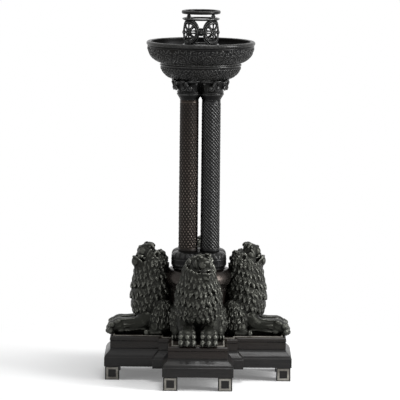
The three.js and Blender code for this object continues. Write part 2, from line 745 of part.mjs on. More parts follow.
// Spoked wheel with teardrop windows, drawn flat, then bent round the crown's cylinder.
function crownWheel(azimuth) {
  const ray = (radius, angle) => new THREE.Vector2(radius * Math.cos(angle), radius * Math.sin(angle));
  const rimInside = WHEEL_RADIUS - WHEEL_RIM;
  const shape = new THREE.Shape();
  shape.absarc(0, 0, WHEEL_RADIUS, 0, Math.PI * 2);
  const pitch = (Math.PI * 2) / SPOKES;
  const rimHalf = pitch / 2 - Math.asin(SPOKE_WIDTH / 2 / (rimInside - WINDOW_CROWN));
  for (let spoke = 0; spoke < SPOKES; spoke += 1) {
    const middle = (spoke + 0.5) * pitch;
    const corners = [
      ray(HUB_RADIUS, middle),
      ray(rimInside - WINDOW_CROWN, middle - rimHalf),
      ray(rimInside, middle),
      ray(rimInside - WINDOW_CROWN, middle + rimHalf),
    ];
    shape.holes.push(new THREE.Path(corners));
  }
  const wheel = new THREE.ExtrudeGeometry(shape, {
    depth: WHEEL_THICKNESS,
    bevelEnabled: false,
    curveSegments: WHEEL_ARC_STEPS,
  });
  const hub = new THREE.CylinderGeometry(HUB_RADIUS * HUB_TAPER, HUB_RADIUS, HUB_RISE + HUB_LAP, HUB_FACETS);
  hub.rotateX(Math.PI / 2);
  hub.translate(0, 0, WHEEL_THICKNESS + (HUB_RISE - HUB_LAP) / 2);
  return [wheel, hub].map((flat) => solidOf(bentRound(flat, azimuth)));
}

// Wraps a flat drawing (x along the wall, y up, z outwards) round the crown's bore.
function bentRound(flat, azimuth) {
  const places = flat.getAttribute("position");
  for (let i = 0; i < places.count; i += 1) {
    const angle = azimuth + places.getX(i) / crownRadius;
    const radius = CROWN_BORE + WHEEL_INSET + places.getZ(i);
    places.setXYZ(i, radius * Math.cos(angle), radius * Math.sin(angle), wheelMiddle + places.getY(i));
  }
  return flat;
}

// The knot half way between two wheels, wide enough to reach into both.
function crownKnot(azimuth) {
  const wheelHalf = Math.sqrt(WHEEL_RADIUS ** 2 - (KNOT_HEIGHT / 2) ** 2);
  const half = (crownRadius * Math.PI) / 4 - wheelHalf + KNOT_LAP;
  const low = [CROWN_BORE + WHEEL_INSET / 2, -half, wheelMiddle - KNOT_HEIGHT / 2];
  const high = [crownRadius, half, wheelMiddle + KNOT_HEIGHT / 2];
  return turnedAbout(block(low, high), azimuth);
}

function crownRing(bottom, height, outer, rounding) {
  return turned(
    [
      [CROWN_BORE, bottom],
      [outer - rounding, bottom],
      [outer, bottom + height / 2],
      [outer - rounding, bottom + height],
      [CROWN_BORE, bottom + height],
      [CROWN_BORE, bottom],
    ],
    RING_FACETS,
  );
}

// A post under the raised rim, round in plan, spreading along the collar at its foot.
function rimPost(heading) {
  const middle = CROWN_BORE + CROWN_WALL / 2;
  const levels = [
    [collarTop + SEAT, POST_FOOT_WIDTH / 2],
    [collarTop + SEAT + POST_FOOT_HEIGHT, POST_WIDTH / 2],
    [rimBottom + POST_LAP, POST_WIDTH / 2],
  ];
  const rings = levels.map(([height, half]) =>
    Array.from({ length: POST_FACETS }, (_, index) => {
      const angle = (index / POST_FACETS) * Math.PI * 2;
      const x = middle + (POST_DEPTH / 2) * Math.cos(angle);
      const point = new THREE.Vector3(x, half * Math.sin(angle), height);
      return point.applyAxisAngle(new THREE.Vector3(0, 0, 1), heading);
    }),
  );
  return lofted(rings);
}

function makeCrown() {
  const seatRadius = CROWN_BORE - SHANK_PLAY;
  const pan = [
    [0, stemBottom - SPIGOT_LENGTH],
    [SPIGOT_RADIUS, stemBottom - SPIGOT_LENGTH],
    [SPIGOT_RADIUS, stemBottom],
    [PAN_STEM_RADIUS, stemBottom],
    [PAN_STEM_RADIUS + PAN_STEM_FLARE, panBottom],
    [crownRadius, panBottom],
    [crownRadius, panTop],
    [seatRadius, panTop],
    [seatRadius, panTop + PAN_RISE],
    [0, panTop + PAN_RISE],
  ];
  addPiece("crown_pan", turned(pan, RING_FACETS), darkBronze);

  const wheels = quarterTurns.flatMap((turn) => crownWheel(turn + Math.PI / 4));
  const knots = quarterTurns.map(crownKnot);
  const bands = [
    crownRing(galleryBottom, COLLAR_HEIGHT, crownRadius, COLLAR_ROUNDING),
    crownRing(collarBottom, COLLAR_HEIGHT, crownRadius + COLLAR_LIP, COLLAR_ROUNDING),
  ];
  addPiece("crown_gallery", joined([...bands, ...wheels, ...knots]).simplify(CROWN_FLATNESS), darkBronze);

  const ring = crownRing(rimBottom, RIM_HEIGHT, crownRadius + RIM_LIP, RIM_ROUNDING);
  const posts = quarterTurns.map((turn) => rimPost(turn + Math.PI / 4));
  addPiece("crown_rim", joined([ring, ...posts]), darkBronze);
}

// Body, mane and head in one: a plain trunk, tiers of pointed locks round a barrel that leans on the
// pedestal, and a head thrown back and turned to the lion's left with its mouth open.
function lionBody(base) {
  const middle = DRUM_RADIUS + MANE_MIDDLE;
  const span = MANE_TOP - MANE_BOTTOM;
  // The barrel's fullness, as [share of its height, share of its greatest size].
  const depthAt = [[0, 0.78], [0.13, 0.9], [0.35, 1], [0.57, 1], [0.72, 0.91], [0.87, 0.84], [1, 0.78]];
  const widthAt = [[0, 0.77], [0.13, 0.93], [0.35, 1], [0.57, 1], [0.72, 0.93], [0.87, 0.78], [1, 0.66]];
  const lockedArc = THREE.MathUtils.degToRad(MANE_SWEEP);
  const backArc = lockedArc * 1.25;
  const angles = [];
  for (let index = 0; index <= MANE_LOCKS * 2; index += 1) angles.push((index / MANE_LOCKS - 1) * lockedArc);
  angles.unshift(-backArc);
  angles.push(backArc);

  // A ring of the mane at a share of its height. It rises towards the back, and every other lock stands out.
  const maneRing = (share, relief, drop) =>
    angles.map((angle, index) => {
      const behind = (1 - Math.cos(angle)) / 2;
      const bottom = MANE_BOTTOM + MANE_BACK_RISE * behind;
      const top = MANE_TOP + MANE_TOP_RISE * behind;
      const height = THREE.MathUtils.lerp(bottom, top, share);
      const onBarrel = (height - MANE_BOTTOM) / span;
      const atBack = index < 2 || index > angles.length - 3;
      const lock = atBack ? 0 : 1 + LOCK_VARIETY * (index % 2 ? -1 : 1);
      const x = middle + (MANE_DEPTH * between(depthAt, onBarrel) + relief * lock) * Math.cos(angle);
      const y = (MANE_HALF_WIDTH * between(widthAt, onBarrel) + relief * lock) * Math.sin(angle);
      return new THREE.Vector3(x, y, base + height - drop * lock);
    });
  const evenRing = (height, along, aside, depth, half, lean = 0) =>
    angles.map((angle) => {
      const x = DRUM_RADIUS + along + depth * Math.cos(angle);
      const z = base + height + lean * (1 - Math.cos(angle));
      return new THREE.Vector3(x, aside + half * Math.sin(angle), z);
    });
  const tiers = Array.from({ length: MANE_TIERS }, (_, tier) => [
    maneRing(tier / MANE_TIERS, LOCK_RELIEF, tier === 0 ? 0 : LOCK_DROP),
    maneRing((tier + LOCK_SHARE) / MANE_TIERS, -LOCK_RELIEF, 0),
  ]);
  const trunk = [
    evenRing(0, TRUNK_MIDDLE, 0, TRUNK_DEPTH * 0.93, TRUNK_HALF_WIDTH * 0.83),
    evenRing(MANE_BOTTOM * 0.9, TRUNK_MIDDLE, 0, TRUNK_DEPTH, TRUNK_HALF_WIDTH, TRUNK_LEAN),
  ];
  // Jaw, lip, cheek, brow, forehead and crown of the head, all as shares of its sizes.
  const levels = [
    { up: 0.23, along: 0.42, turn: 0, long: 0.5, wide: 0.49 },
    { up: 0.39, along: 0.48, turn: 0.3, long: 0.44, wide: 0.5 },
    { up: 0.58, along: 0.44, turn: 0.64, long: 0.31, wide: 0.39 },
    { up: 0.76, along: 0.535, turn: 0.93, long: 0.2, wide: 0.29 },
    { up: 0.9, along: 0.5, turn: 1, long: 0.12, wide: 0.2 },
    { up: 1, along: 0.465, turn: 1, long: 0.04, wide: 0.09 },
  ];
  const head = levels.map(({ up, along, turn, long, wide }) => {
    const height = THREE.MathUtils.lerp(MANE_TOP, HEAD_TOP, up);
    return evenRing(height, HEAD_LENGTH * along, HEAD_TURN * turn, HEAD_LENGTH * long, HEAD_WIDTH * wide);
  });
  return lofted([...trunk, ...tiers.flat(), ...head]);
}

// One foreleg stretched out along the plinth's arm, ending in a paw with rounded toes.
function lionForeleg(base, side) {
  const middle = (side * LEG_SPACING) / 2;
  const wrist = PAW_REACH - PAW_LENGTH + PAW_LAP;
  // From shoulder to wrist: place along the leg, then its middle's height and its half sizes by the paw's.
  const stations = [
    { along: 0, middle: 1.13, up: 0.66, across: 0.52 },
    { along: 0.29, middle: 0.68, up: 0.56, across: 0.48 },
    { along: 0.55, middle: 0.56, up: 0.47, across: 0.41 },
    { along: 1, middle: 0.52, up: 0.43, across: 0.44 },
  ];
  const rings = stations.map((station) =>
    Array.from({ length: LEG_FACETS }, (_, index) => {
      const angle = ((index + 0.5) / LEG_FACETS) * Math.PI * 2;
      const x = DRUM_RADIUS + THREE.MathUtils.lerp(SHOULDER_PLACE, wrist, station.along);
      const y = middle + PAW_WIDTH * station.across * Math.cos(angle);
      const height = PAW_HEIGHT * (station.middle + station.up * Math.sin(angle));
      return new THREE.Vector3(x, y, base + Math.max(height, PAW_SOLE / 2));
    }),
  );
  return [lofted(rings), lionPaw(base, middle)];
}

function lionPaw(base, middle) {
  const heel = PAW_REACH - PAW_LENGTH;
  const outline = [
    [heel, PAW_SOLE],
    [PAW_REACH - PAW_LENGTH * 0.11, PAW_SOLE],
    [PAW_REACH, PAW_HEIGHT * 0.23],
    [PAW_REACH - PAW_LENGTH * 0.06, PAW_HEIGHT * 0.52],
    [PAW_REACH - PAW_LENGTH * 0.44, PAW_HEIGHT * 0.82],
    [heel, PAW_HEIGHT],
  ];
  // How far the paw rises and reaches at its two edges, along its toes and between them.
  const edge = { rise: 0.72, reach: 0.78 };
  const toe = { rise: 1, reach: 1 };
  const cleft = { rise: 0.93, reach: 0.87 };
  const stations = TOES * 2 + 1;
  const rings = Array.from({ length: stations }, (_, index) => {
    const across = (index / (stations - 1) - 0.5) * PAW_WIDTH;
    const atEdge = index === 0 || index === stations - 1;
    const { rise, reach } = atEdge ? edge : index % 2 ? toe : cleft;
    return outline.map(
      ([x, z]) =>
        new THREE.Vector3(DRUM_RADIUS + heel + (x - heel) * reach, middle + across, base + z * rise),
    );
  });
  return lofted(rings);
}

// Folded haunches beside the pedestal, with the hind paws in front of them.
function lionHaunches(base) {
  const thigh = [HAUNCH_LENGTH / 2, HAUNCH_WIDTH / 2, HAUNCH_HEIGHT / 2];
  const paw = [HIND_PAW_LENGTH / 2, HIND_PAW_WIDTH / 2, HIND_PAW_HEIGHT / 2];
  return [-1, 1].flatMap((side) => [
    lump([DRUM_RADIUS + HAUNCH_PLACE, side * HAUNCH_SPREAD, base + thigh[2]], thigh, 7, 3),
    lump([DRUM_RADIUS + HIND_PAW_PLACE, side * HIND_PAW_SPREAD, base + paw[2]], paw, 5, 3),
  ]);
}

// What the lions lean on, drawn a little large with few faces: the pedestal and the block of bases.
function leanedOn() {
  const facets = PEDESTAL_FACETS / 2;
  const spread = SEAT + SHOULDER_RADIUS * (1 / Math.cos(Math.PI / facets) - 1);
  const neck = DRUM_RADIUS + DRUM_FILLET + spread;
  const widest = shoulderBottom + SHOULDER_WIDEST;
  const tangent = Math.SQRT2 - 1;
  const pedestal = [
    [0, plinthTop],
    [neck, plinthTop],
    [neck, shoulderBottom],
    [SHOULDER_RADIUS + spread, shoulderBottom + SHOULDER_NECK_HEIGHT],
    [SHOULDER_RADIUS + spread, THREE.MathUtils.lerp(widest, shoulderTop, tangent)],
    [THREE.MathUtils.lerp(SHOULDER_TOP_RADIUS, SHOULDER_RADIUS, tangent) + spread, shoulderTop + SEAT],
    [0, shoulderTop + SEAT],
  ];
  const half = columnPlace + BASE_RADIUS + SEAT;
  return [turned(pedestal, facets), block([-half, -half, shoulderTop], [half, half, baseTop + SEAT])];
}

function makeLions() {
  const base = plinthTop + SEAT;
  const legs = [-1, 1].flatMap((side) => lionForeleg(base, side));
  const body = joined([lionBody(base), ...legs, ...lionHaunches(base)]).simplify(LION_FLATNESS);
  const screwHole = bore(LION_SCREW_RADIUS, plinthTop, lionScrewTop + SHANK_PLAY, lionScrewX);
  const lion = cutBy(body, [...leanedOn(), screwHole]);
  const headTop = bandBottom + BOLT_HEAD_HEIGHT;
  const screwHead = upright(LION_SCREW_HEAD, bandBottom, headTop, NUT_SIDES, lionScrewX);
  const shank = upright(LION_SCREW_RADIUS, bandBottom, lionScrewTop, SHANK_FACETS, lionScrewX);
  for (const [index, name] of ["right", "back", "left", "front"].entries()) {
    addPiece(`lion_${name}`, lion, lionBronze, quarterTurns[index]);
    addPiece(`lion_screw_${name}`, screwHead.add(shank), steel, quarterTurns[index]);
  }
}

makeFeet();
makePlinth();
makePedestal();
makeLions();
makeColumns();
makeCapital();
makeLowerBowl();
makeUpperBowl();
makeCrown();

export default candelabrum;
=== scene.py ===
import json
import math
import random

import bmesh
import bpy
import numpy as np
from mathutils import Matrix, Vector


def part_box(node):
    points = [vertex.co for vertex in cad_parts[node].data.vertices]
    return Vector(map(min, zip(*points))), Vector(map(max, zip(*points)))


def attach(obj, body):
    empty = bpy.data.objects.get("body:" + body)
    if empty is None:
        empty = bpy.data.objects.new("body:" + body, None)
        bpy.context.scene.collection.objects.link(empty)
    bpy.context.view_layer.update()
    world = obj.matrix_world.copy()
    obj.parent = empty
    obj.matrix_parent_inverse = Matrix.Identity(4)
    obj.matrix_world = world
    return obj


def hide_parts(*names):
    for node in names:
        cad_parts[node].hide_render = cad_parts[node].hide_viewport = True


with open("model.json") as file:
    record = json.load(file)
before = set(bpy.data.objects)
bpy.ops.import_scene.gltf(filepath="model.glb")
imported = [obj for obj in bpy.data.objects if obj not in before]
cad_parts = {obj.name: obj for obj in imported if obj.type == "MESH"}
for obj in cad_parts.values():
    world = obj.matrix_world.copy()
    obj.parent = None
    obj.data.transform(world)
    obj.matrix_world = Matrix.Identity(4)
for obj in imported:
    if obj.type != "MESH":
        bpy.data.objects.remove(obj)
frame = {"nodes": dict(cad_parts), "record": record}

# Shapes are drawn in millimetres and brought to metres when their mesh is made.
MM = 0.001
TAU = 2 * math.pi
QUARTER = math.pi / 2
UP = np.array([0.0, 0.0, 1.0])
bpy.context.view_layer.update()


def span(node):
    """The lowest and the highest level of a node."""
    low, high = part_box(node)[0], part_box(node)[1]
    return low.z / MM, high.z / MM


def bottom(node):
    return span(node)[0]


def top(node):
    return span(node)[1]


# Sizes that several pieces share. Heights are read from the frame's nodes.
PLINTH_TOP = top("plinth_block")
COLUMN_PLACE = 13.2
SCREW_BORE = 2.8
CROWN_BORE = 19.5
CROWN_RADIUS = 22.1
PLACES = {
    "front_left": (-COLUMN_PLACE, -COLUMN_PLACE),
    "front_right": (COLUMN_PLACE, -COLUMN_PLACE),
    "back_right": (COLUMN_PLACE, COLUMN_PLACE),
    "back_left": (-COLUMN_PLACE, COLUMN_PLACE),
}


# Lines and outlines


def unit(vector):
    vector = np.array(vector, float)
    return vector / np.linalg.norm(vector)


def compass(angle):
    """Level unit vectors outwards and across, at an angle round Z."""
    c, s = math.cos(angle), math.sin(angle)
    return np.array([c, s, 0.0]), np.array([-s, c, 0.0])


def points_on(stations, where):
    """Straight-line reading of a table of (place, value) rows."""
    table = np.array(stations, float)
    return np.interp(where, table[:, 0], table[:, 1])


def run_along(points):
    """The length of a line up to each of its points."""
    return np.concatenate([[0], np.cumsum(np.linalg.norm(np.diff(points, axis=0), axis=1))])


def evenly(points, count):
    """The same line with evenly spaced points."""
    p = np.array(points, float)
    run = run_along(p)
    where = np.linspace(0, run[-1], count)
    return np.stack([np.interp(where, run, column) for column in p.T], axis=1)


def curve_through(points, count):
    """A smooth line through the points, evenly sampled."""
    p = np.array(points, float)
    padded = np.vstack([2 * p[0] - p[1], p, 2 * p[-1] - p[-2]])
    fine = []
    for i in range(len(p) - 1):
        a, b, c, d = padded[i : i + 4]
        square, cube = 2 * a - 5 * b + 4 * c - d, 3 * b - a - 3 * c + d
        for t in np.linspace(0, 1, 24, endpoint=False):
            fine.append(0.5 * (2 * b + (c - a) * t + square * t**2 + cube * t**3))
    return evenly(np.array(fine + [p[-1]]), count)


def arc(middle, radius, start, end, count, tall=None):
    """Points of an arc, or of an oval with its own half height. Degrees: 0 is outwards, 90 is up."""
    angles = np.radians(np.linspace(start, end, count))
    x = middle[0] + radius * np.cos(angles)
    return np.stack([x, middle[1] + (tall or radius) * np.sin(angles)], axis=1)


def outline(*runs):
    """Single points and runs of points, joined into one (radius, height) outline."""
    return np.vstack([np.atleast_2d(np.array(run, float)) for run in runs])


# Solids as (points, faces) pairs


def grid_faces(rows, columns, rows_close):
    """Quads of a rows x columns grid that closes on itself along its columns."""
    faces = []
    last = rows if rows_close else rows - 1
    for i in range(last):
        a, b = i * columns, ((i + 1) % rows) * columns
        for j in range(columns):
            k = (j + 1) % columns
            faces.append((a + j, a + k, b + k, b + j))
    return faces


def revolved(profile, columns, relief=None, centre=(0.0, 0.0), closes=False, turn=0.0):
    """A turned surface through (radius, height) rows. relief gives how far each point stands out."""
    p = np.array(profile, float)
    ahead = np.roll(p, -1, axis=0) if closes else np.vstack([p[1:], p[-1:]])
    behind = np.roll(p, 1, axis=0) if closes else np.vstack([p[:1], p[:-1]])
    along = ahead - behind
    along /= np.maximum(np.linalg.norm(along, axis=1, keepdims=True), 1e-9)
    out = np.stack([along[:, 1], -along[:, 0]], axis=1)
    theta = turn + np.arange(columns) * TAU / columns
    radius = np.repeat(p[:, :1], columns, axis=1)
    height = np.repeat(p[:, 1:], columns, axis=1)
    if relief is not None:
        rise = relief(np.repeat(theta[None, :], len(p), axis=0), height, radius)
        radius = radius + rise * out[:, :1]
        height = height + rise * out[:, 1:]
    x, y = centre[0] + radius * np.cos(theta), centre[1] + radius * np.sin(theta)
    return np.stack([x, y, height], axis=2).reshape(-1, 3), grid_faces(len(p), columns, closes)


def gathered(parts):
    """Several pairs as one."""
    points, faces, start = [], [], 0
    for part_points, part_faces in parts:
        points.append(part_points)
        faces.extend(tuple(start + i for i in face) for face in part_faces)
        start += len(part_points)
    return np.vstack(points), faces


def lofted(rings):
    """A closed skin over rings of equal point count, with a fan at each end."""
    rings = [np.array(ring, float) for ring in rings]
    count = len(rings[0])
    points = np.vstack(rings + [rings[0].mean(0)[None], rings[-1].mean(0)[None]])
    faces = grid_faces(len(rings), count, False)
    first, last, end = len(points) - 2, len(points) - 1, (len(rings) - 1) * count
    for j in range(count):
        k = (j + 1) % count
        faces.append((first, k, j))
        faces.append((last, end + j, end + k))
    return points, faces


def placed(part, middle, tip=0.0, turn=0.0):
    """A part tipped about Y, then turned about Z, in degrees, and moved to its middle."""
    points, faces = part
    a, b = math.radians(tip), math.radians(turn)
    about_y = np.array([[math.cos(a), 0, math.sin(a)], [0, 1, 0], [-math.sin(a), 0, math.cos(a)]])
    about_z = np.array([[math.cos(b), -math.sin(b), 0], [math.sin(b), math.cos(b), 0], [0, 0, 1]])
    return points @ about_y.T @ about_z.T + np.array(middle, float), faces


def egg(middle, halves, around=16, up=10, tip=0.0):
    """An egg-shaped lump with three half sizes, tipped about Y."""
    angles = np.arange(around) * TAU / around
    rings = []
    for i in range(1, up):
        polar = math.pi * i / up
        x, y = np.sin(polar) * np.cos(angles), np.sin(polar) * np.sin(angles)
        rings.append(np.stack([x, y, np.full(around, -math.cos(polar))], axis=1))
    points, faces = lofted(rings)
    points[-2:] = -UP, UP
    return placed((points * np.array(halves), faces), middle, tip)


def tube(path, radii, sides=12, flat=1.0, up=(0, 0, 1)):
    """A rod along a path, with one radius or one for each point. flat squeezes it along its own up."""
    p = np.array(path, float)
    radii = np.broadcast_to(np.array(radii, float), (len(p),))
    angles = np.arange(sides) * TAU / sides
    rings = []
    for point, way, radius in zip(p, np.gradient(p, axis=0), radii):
        way = unit(way)
        side = np.cross(way, up)
        if np.linalg.norm(side) < 1e-3:
            side = np.cross(way, (1, 0, 0))
        side = unit(side)
        over = np.cross(side, way)
        ring = np.outer(np.cos(angles), side) + flat * np.outer(np.sin(angles), over)
        rings.append(point + radius * ring)
    return lofted(rings)


# Blender meshes and pieces


def mesh_of(name, part):
    """A Blender mesh in metres, welded, with its faces pointing out."""
    points, faces = part
    mesh = bpy.data.meshes.new(name)
    mesh.from_pydata([tuple(point) for point in np.array(points) * MM], [], faces)
    work = bmesh.new()
    work.from_mesh(mesh)
    bmesh.ops.remove_doubles(work, verts=work.verts, dist=1e-7)
    bmesh.ops.dissolve_degenerate(work, edges=work.edges, dist=1e-8)
    bmesh.ops.recalc_face_normals(work, faces=work.faces)
    work.to_mesh(mesh)
    work.free()
    return mesh


def evaluated(mesh, *settings):
    """The mesh after the modifiers, each given as (type, {setting: value})."""
    holder = bpy.data.objects.new("holder", mesh)
    bpy.context.scene.collection.objects.link(holder)
    for kind, values in settings:
        modifier = holder.modifiers.new(kind.lower(), kind)
        for key, value in values.items():
            setattr(modifier, key, value)
    graph = bpy.context.evaluated_depsgraph_get()
    graph.update()
    made = bpy.data.meshes.new_from_object(holder.evaluated_get(graph))
    bpy.data.objects.remove(holder)
    return made


def cast(name, parts, voxel):
    """Parts that run into each other, fused into one cast skin."""
    fuse = ("REMESH", {"mode": "VOXEL", "voxel_size": voxel * MM})
    made = evaluated(mesh_of(name, gathered(parts)), fuse, ("SMOOTH", {"factor": 0.5, "iterations": 1}))
    made.name = name
    return made


def bevelled(mesh, width):
    angle = math.radians(32)
    settings = {"width": width * MM, "segments": 2, "limit_method": "ANGLE", "angle_limit": angle}
    return evaluated(mesh, ("BEVEL", {**settings, "harden_normals": False}))


def cut_from(mesh, other):
    tool = bpy.data.objects.new("tool", other)
    bpy.context.scene.collection.objects.link(tool)
    made = evaluated(mesh, ("BOOLEAN", {"operation": "DIFFERENCE", "object": tool, "solver": "EXACT"}))
    bpy.data.objects.remove(tool)
    return made


def vertex_rows(mesh, key):
    rows = np.zeros(len(mesh.vertices) * 3)
    mesh.vertices.foreach_get(key, rows)
    return rows.reshape(-1, 3)


def store_rise(mesh, values):
    """Keeps the height of each point in the relief, which the bronzes' materials read."""
    attribute = mesh.attributes.get("rise") or mesh.attributes.new("rise", "FLOAT", "POINT")
    attribute.data.foreach_set("value", values.astype(np.float32))
    return mesh


def mark_wear_and_shade(mesh, rounds, scale=0.5):
    """Stores how far each point stands above (1) or below (0) the mean of what lies round it; the bronzes
    paint shade and highlight by it.
    """
    points = vertex_rows(mesh, "co") / MM
    count = len(points)
    edges = np.zeros(len(mesh.edges) * 2, int)
    mesh.edges.foreach_get("vertices", edges)
    a, b = edges.reshape(-1, 2).T
    links = np.maximum(np.bincount(a, minlength=count) + np.bincount(b, minlength=count), 1)
    mean = points.copy()
    for _ in range(rounds):
        sums = [np.bincount(a, row[b], count) + np.bincount(b, row[a], count) for row in mean.T]
        mean = np.stack(sums, axis=1) / links[:, None]
    rise = ((points - mean) * vertex_rows(mesh, "normal")).sum(1)
    return store_rise(mesh, np.clip(0.5 + rise / (2 * scale), 0, 1))


def piece(name, mesh, material, body, replaces=(), turn=0.0, sharp=None):
    """A finished piece in its place: smooth-shaded, riding on a body, standing for CAD nodes."""
    mesh.shade_smooth()
    if sharp is not None:
        mesh.set_sharp_from_angle(angle=math.radians(sharp))
    mesh.materials.clear()
    mesh.materials.append(material)
    obj = bpy.data.objects.new(name, mesh)
    bpy.context.scene.collection.objects.link(obj)
    obj.rotation_euler.z = turn
    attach(obj, body)
    if replaces:
        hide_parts(*replaces)
    return obj


# Node trees


class Nodes:
    """A node tree. An input takes a value, a colour or the output of another node."""

    def __init__(self, owner, output="OutputMaterial"):
        owner.use_nodes = True
        self.tree = owner.node_tree
        self.tree.nodes.clear()
        self.surface = self.add(output).inputs["Surface"]

    def feed(self, socket, value):
        if isinstance(value, bpy.types.NodeSocket):
            self.tree.links.new(value, socket)
        else:
            socket.default_value = (*value, 1) if socket.type == "RGBA" else value

    def add(self, kind, inputs=None, **settings):
        node = self.tree.nodes.new("ShaderNode" + kind)
        for key, value in settings.items():
            setattr(node, key, value)
        for key, value in (inputs or {}).items():
            self.feed(node.inputs[key], value)
        return node

    def place(self):
        return self.add("TexCoord").outputs["Object"]

    def noise(self, scale, detail=3.0, roughness=0.55, stretch=(1, 1, 1), offset=0.0):
        where = self.add("Mapping", {"Vector": self.place(), "Scale": stretch, "Location": (offset,) * 3})
        inputs = {"Vector": where.outputs[0], "Scale": scale, "Detail": detail, "Roughness": roughness}
        return self.add("TexNoise", inputs).outputs["Fac"]

    def level(self, source, low, high, start=0.0, end=1.0, **settings):
        """low to high, while the source goes from start to end."""
        inputs = {"Value": source, "From Min": start, "From Max": end, "To Min": low, "To Max": high}
        return self.add("MapRange", inputs, **settings).outputs[0]

    def mix(self, share, first, second):
        return self.add("Mix", {0: share, 6: first, 7: second}, data_type="RGBA").outputs[2]

    def math(self, operation, first, second):
        return self.add("Math", {0: first, 1: second}, operation=operation).outputs[0]

    def blend(self, share, first, second):
        return self.add("MixShader", {0: share, 1: first, 2: second}).outputs[0]

    def glow(self, kind, colour, strength):
        return self.add(kind, {"Color": colour, "Strength": strength}).outputs[0]

    def seen_directly(self):
        """1 for rays that show the background itself: from the camera, off a gloss or through glass."""
        rays = self.add("LightPath").outputs
        glossy = self.math("MAXIMUM", rays["Is Camera Ray"], rays["Is Glossy Ray"])
        return self.math("MAXIMUM", glossy, rays["Is Transmission Ray"])

    def dress(self, colour, roughness, metallic, specular, height, grain, strength, **more):
        """Ends the tree in a shader whose surface stands up by the grain, in metres."""
        inputs = {"Height": height, "Distance": grain, "Strength": strength}
        normal = self.add("Bump", inputs).outputs[0]
        values = {"Base Color": colour, "Roughness": roughness, "Metallic": metallic, "Normal": normal}
        shader = self.add("BsdfPrincipled", {**values, "Specular IOR Level": specular, **more})
        self.feed(self.surface, shader.outputs[0])


# Materials


def bronze(name, deep, body, rubbed_and_highlight, tint, rough, grain=0.00012):
    """Patinated cast bronze, cloudy all over, with painted shading in the hollows and rubbed wear with a
    painted highlight on the high parts.
    """
    material = bpy.data.materials.new(name)
    n = Nodes(material)
    rise = n.add("Attribute", attribute_name="rise").outputs["Fac"]
    cloud = n.noise(34, 4, 0.6)
    fine = n.noise(420, 3, 0.6, offset=2.0)
    patina = n.mix(n.level(cloud, 0.0, 1.0, 0.38, 0.66), body, tint)
    # The hollows take the deep colour as painted shading; the high parts take the rubbed colour, wear with a
    # painted highlight, sparkled by the fine noise.
    toned = n.mix(n.level(rise, 0.0, 1.0, 0.22, 0.5), deep, patina)
    crest = n.math("MULTIPLY", n.level(rise, 0.0, 1.0, 0.56, 0.92), n.level(fine, 0.35, 1.0, 0.35, 0.6))
    by_height = n.level(rise, rough + 0.12, rough - 0.08, 0.3, 0.85)
    roughness = n.math("ADD", n.level(cloud, -0.07, 0.09, 0.3, 0.7), by_height)
    # Old wax and dust lie in the hollows, so they are dull there.
    metallic = n.level(rise, 0.08, 0.75, 0.28, 0.52)
    pits = n.math("ADD", n.math("MULTIPLY", fine, 0.6), n.noise(1300, 2, 0.5, offset=5.0))
    n.dress(n.mix(crest, toned, rubbed_and_highlight), roughness, metallic, 0.15, pits, grain, 0.6)
    return material


def ebonised(name, base, warm, worn_edge, rough):
    """Ebonised and polished wood: near black, with the grain and a warm tone just showing."""
    material = bpy.data.materials.new(name)
    n = Nodes(material)
    grain = n.noise(26, 5, 0.62, stretch=(1.0, 1.0, 14.0))
    patches = n.noise(9, 3, 0.5, offset=3.0)
    fine = n.noise(260, 3, 0.6, stretch=(0.35, 0.35, 3.0), offset=1.0)
    toned = n.mix(n.level(patches, 0.0, 1.0, 0.4, 0.68), base, warm)
    streaked = n.mix(n.level(grain, 0.0, 0.55, 0.45, 0.75), toned, worn_edge)
    by_fibre = n.level(fine, rough - 0.03, rough + 0.07, 0.3, 0.7)
    roughness = n.math("ADD", n.level(grain, -0.05, 0.08, 0.3, 0.7), by_fibre)
    height = n.math("ADD", n.math("MULTIPLY", grain, 0.5), fine)
    polish = {"Coat Weight": 0.03, "Coat Roughness": 0.15}
    n.dress(streaked, roughness, 0.0, 0.22, height, 0.0001, 0.35, **polish)
    return material


def pale_wood(name, light, dirt):
    """The light lines let into the wood, with dirt in their fibres."""
    material = bpy.data.materials.new(name)
    n = Nodes(material)
    fibre = n.noise(500, 3, 0.6, offset=4.0)
    toned = n.mix(n.level(n.noise(60, 4, 0.6), 0.0, 1.0, 0.35, 0.72), light, dirt)
    colour = n.mix(n.level(fibre, 0.0, 0.5, 0.4, 0.75), toned, dirt)
    n.dress(colour, n.level(fibre, 0.42, 0.6, 0.3, 0.7), 0.0, 0.3, fibre, 0.00008, 0.4)
    return material


def plain_steel(name, bright, dull):
    """The hidden screws, rods and nuts, with the marks of turning."""
    material = bpy.data.materials.new(name)
    n = Nodes(material)
    marks = n.noise(90, 2, 0.5, stretch=(1, 1, 16))
    colour = n.mix(n.level(n.noise(70, 3, 0.6), 0.0, 1.0, 0.35, 0.7), bright, dull)
    n.dress(colour, n.level(marks, 0.32, 0.5, 0.3, 0.7), 0.9, 0.5, marks, 0.00006, 0.4)
    return material


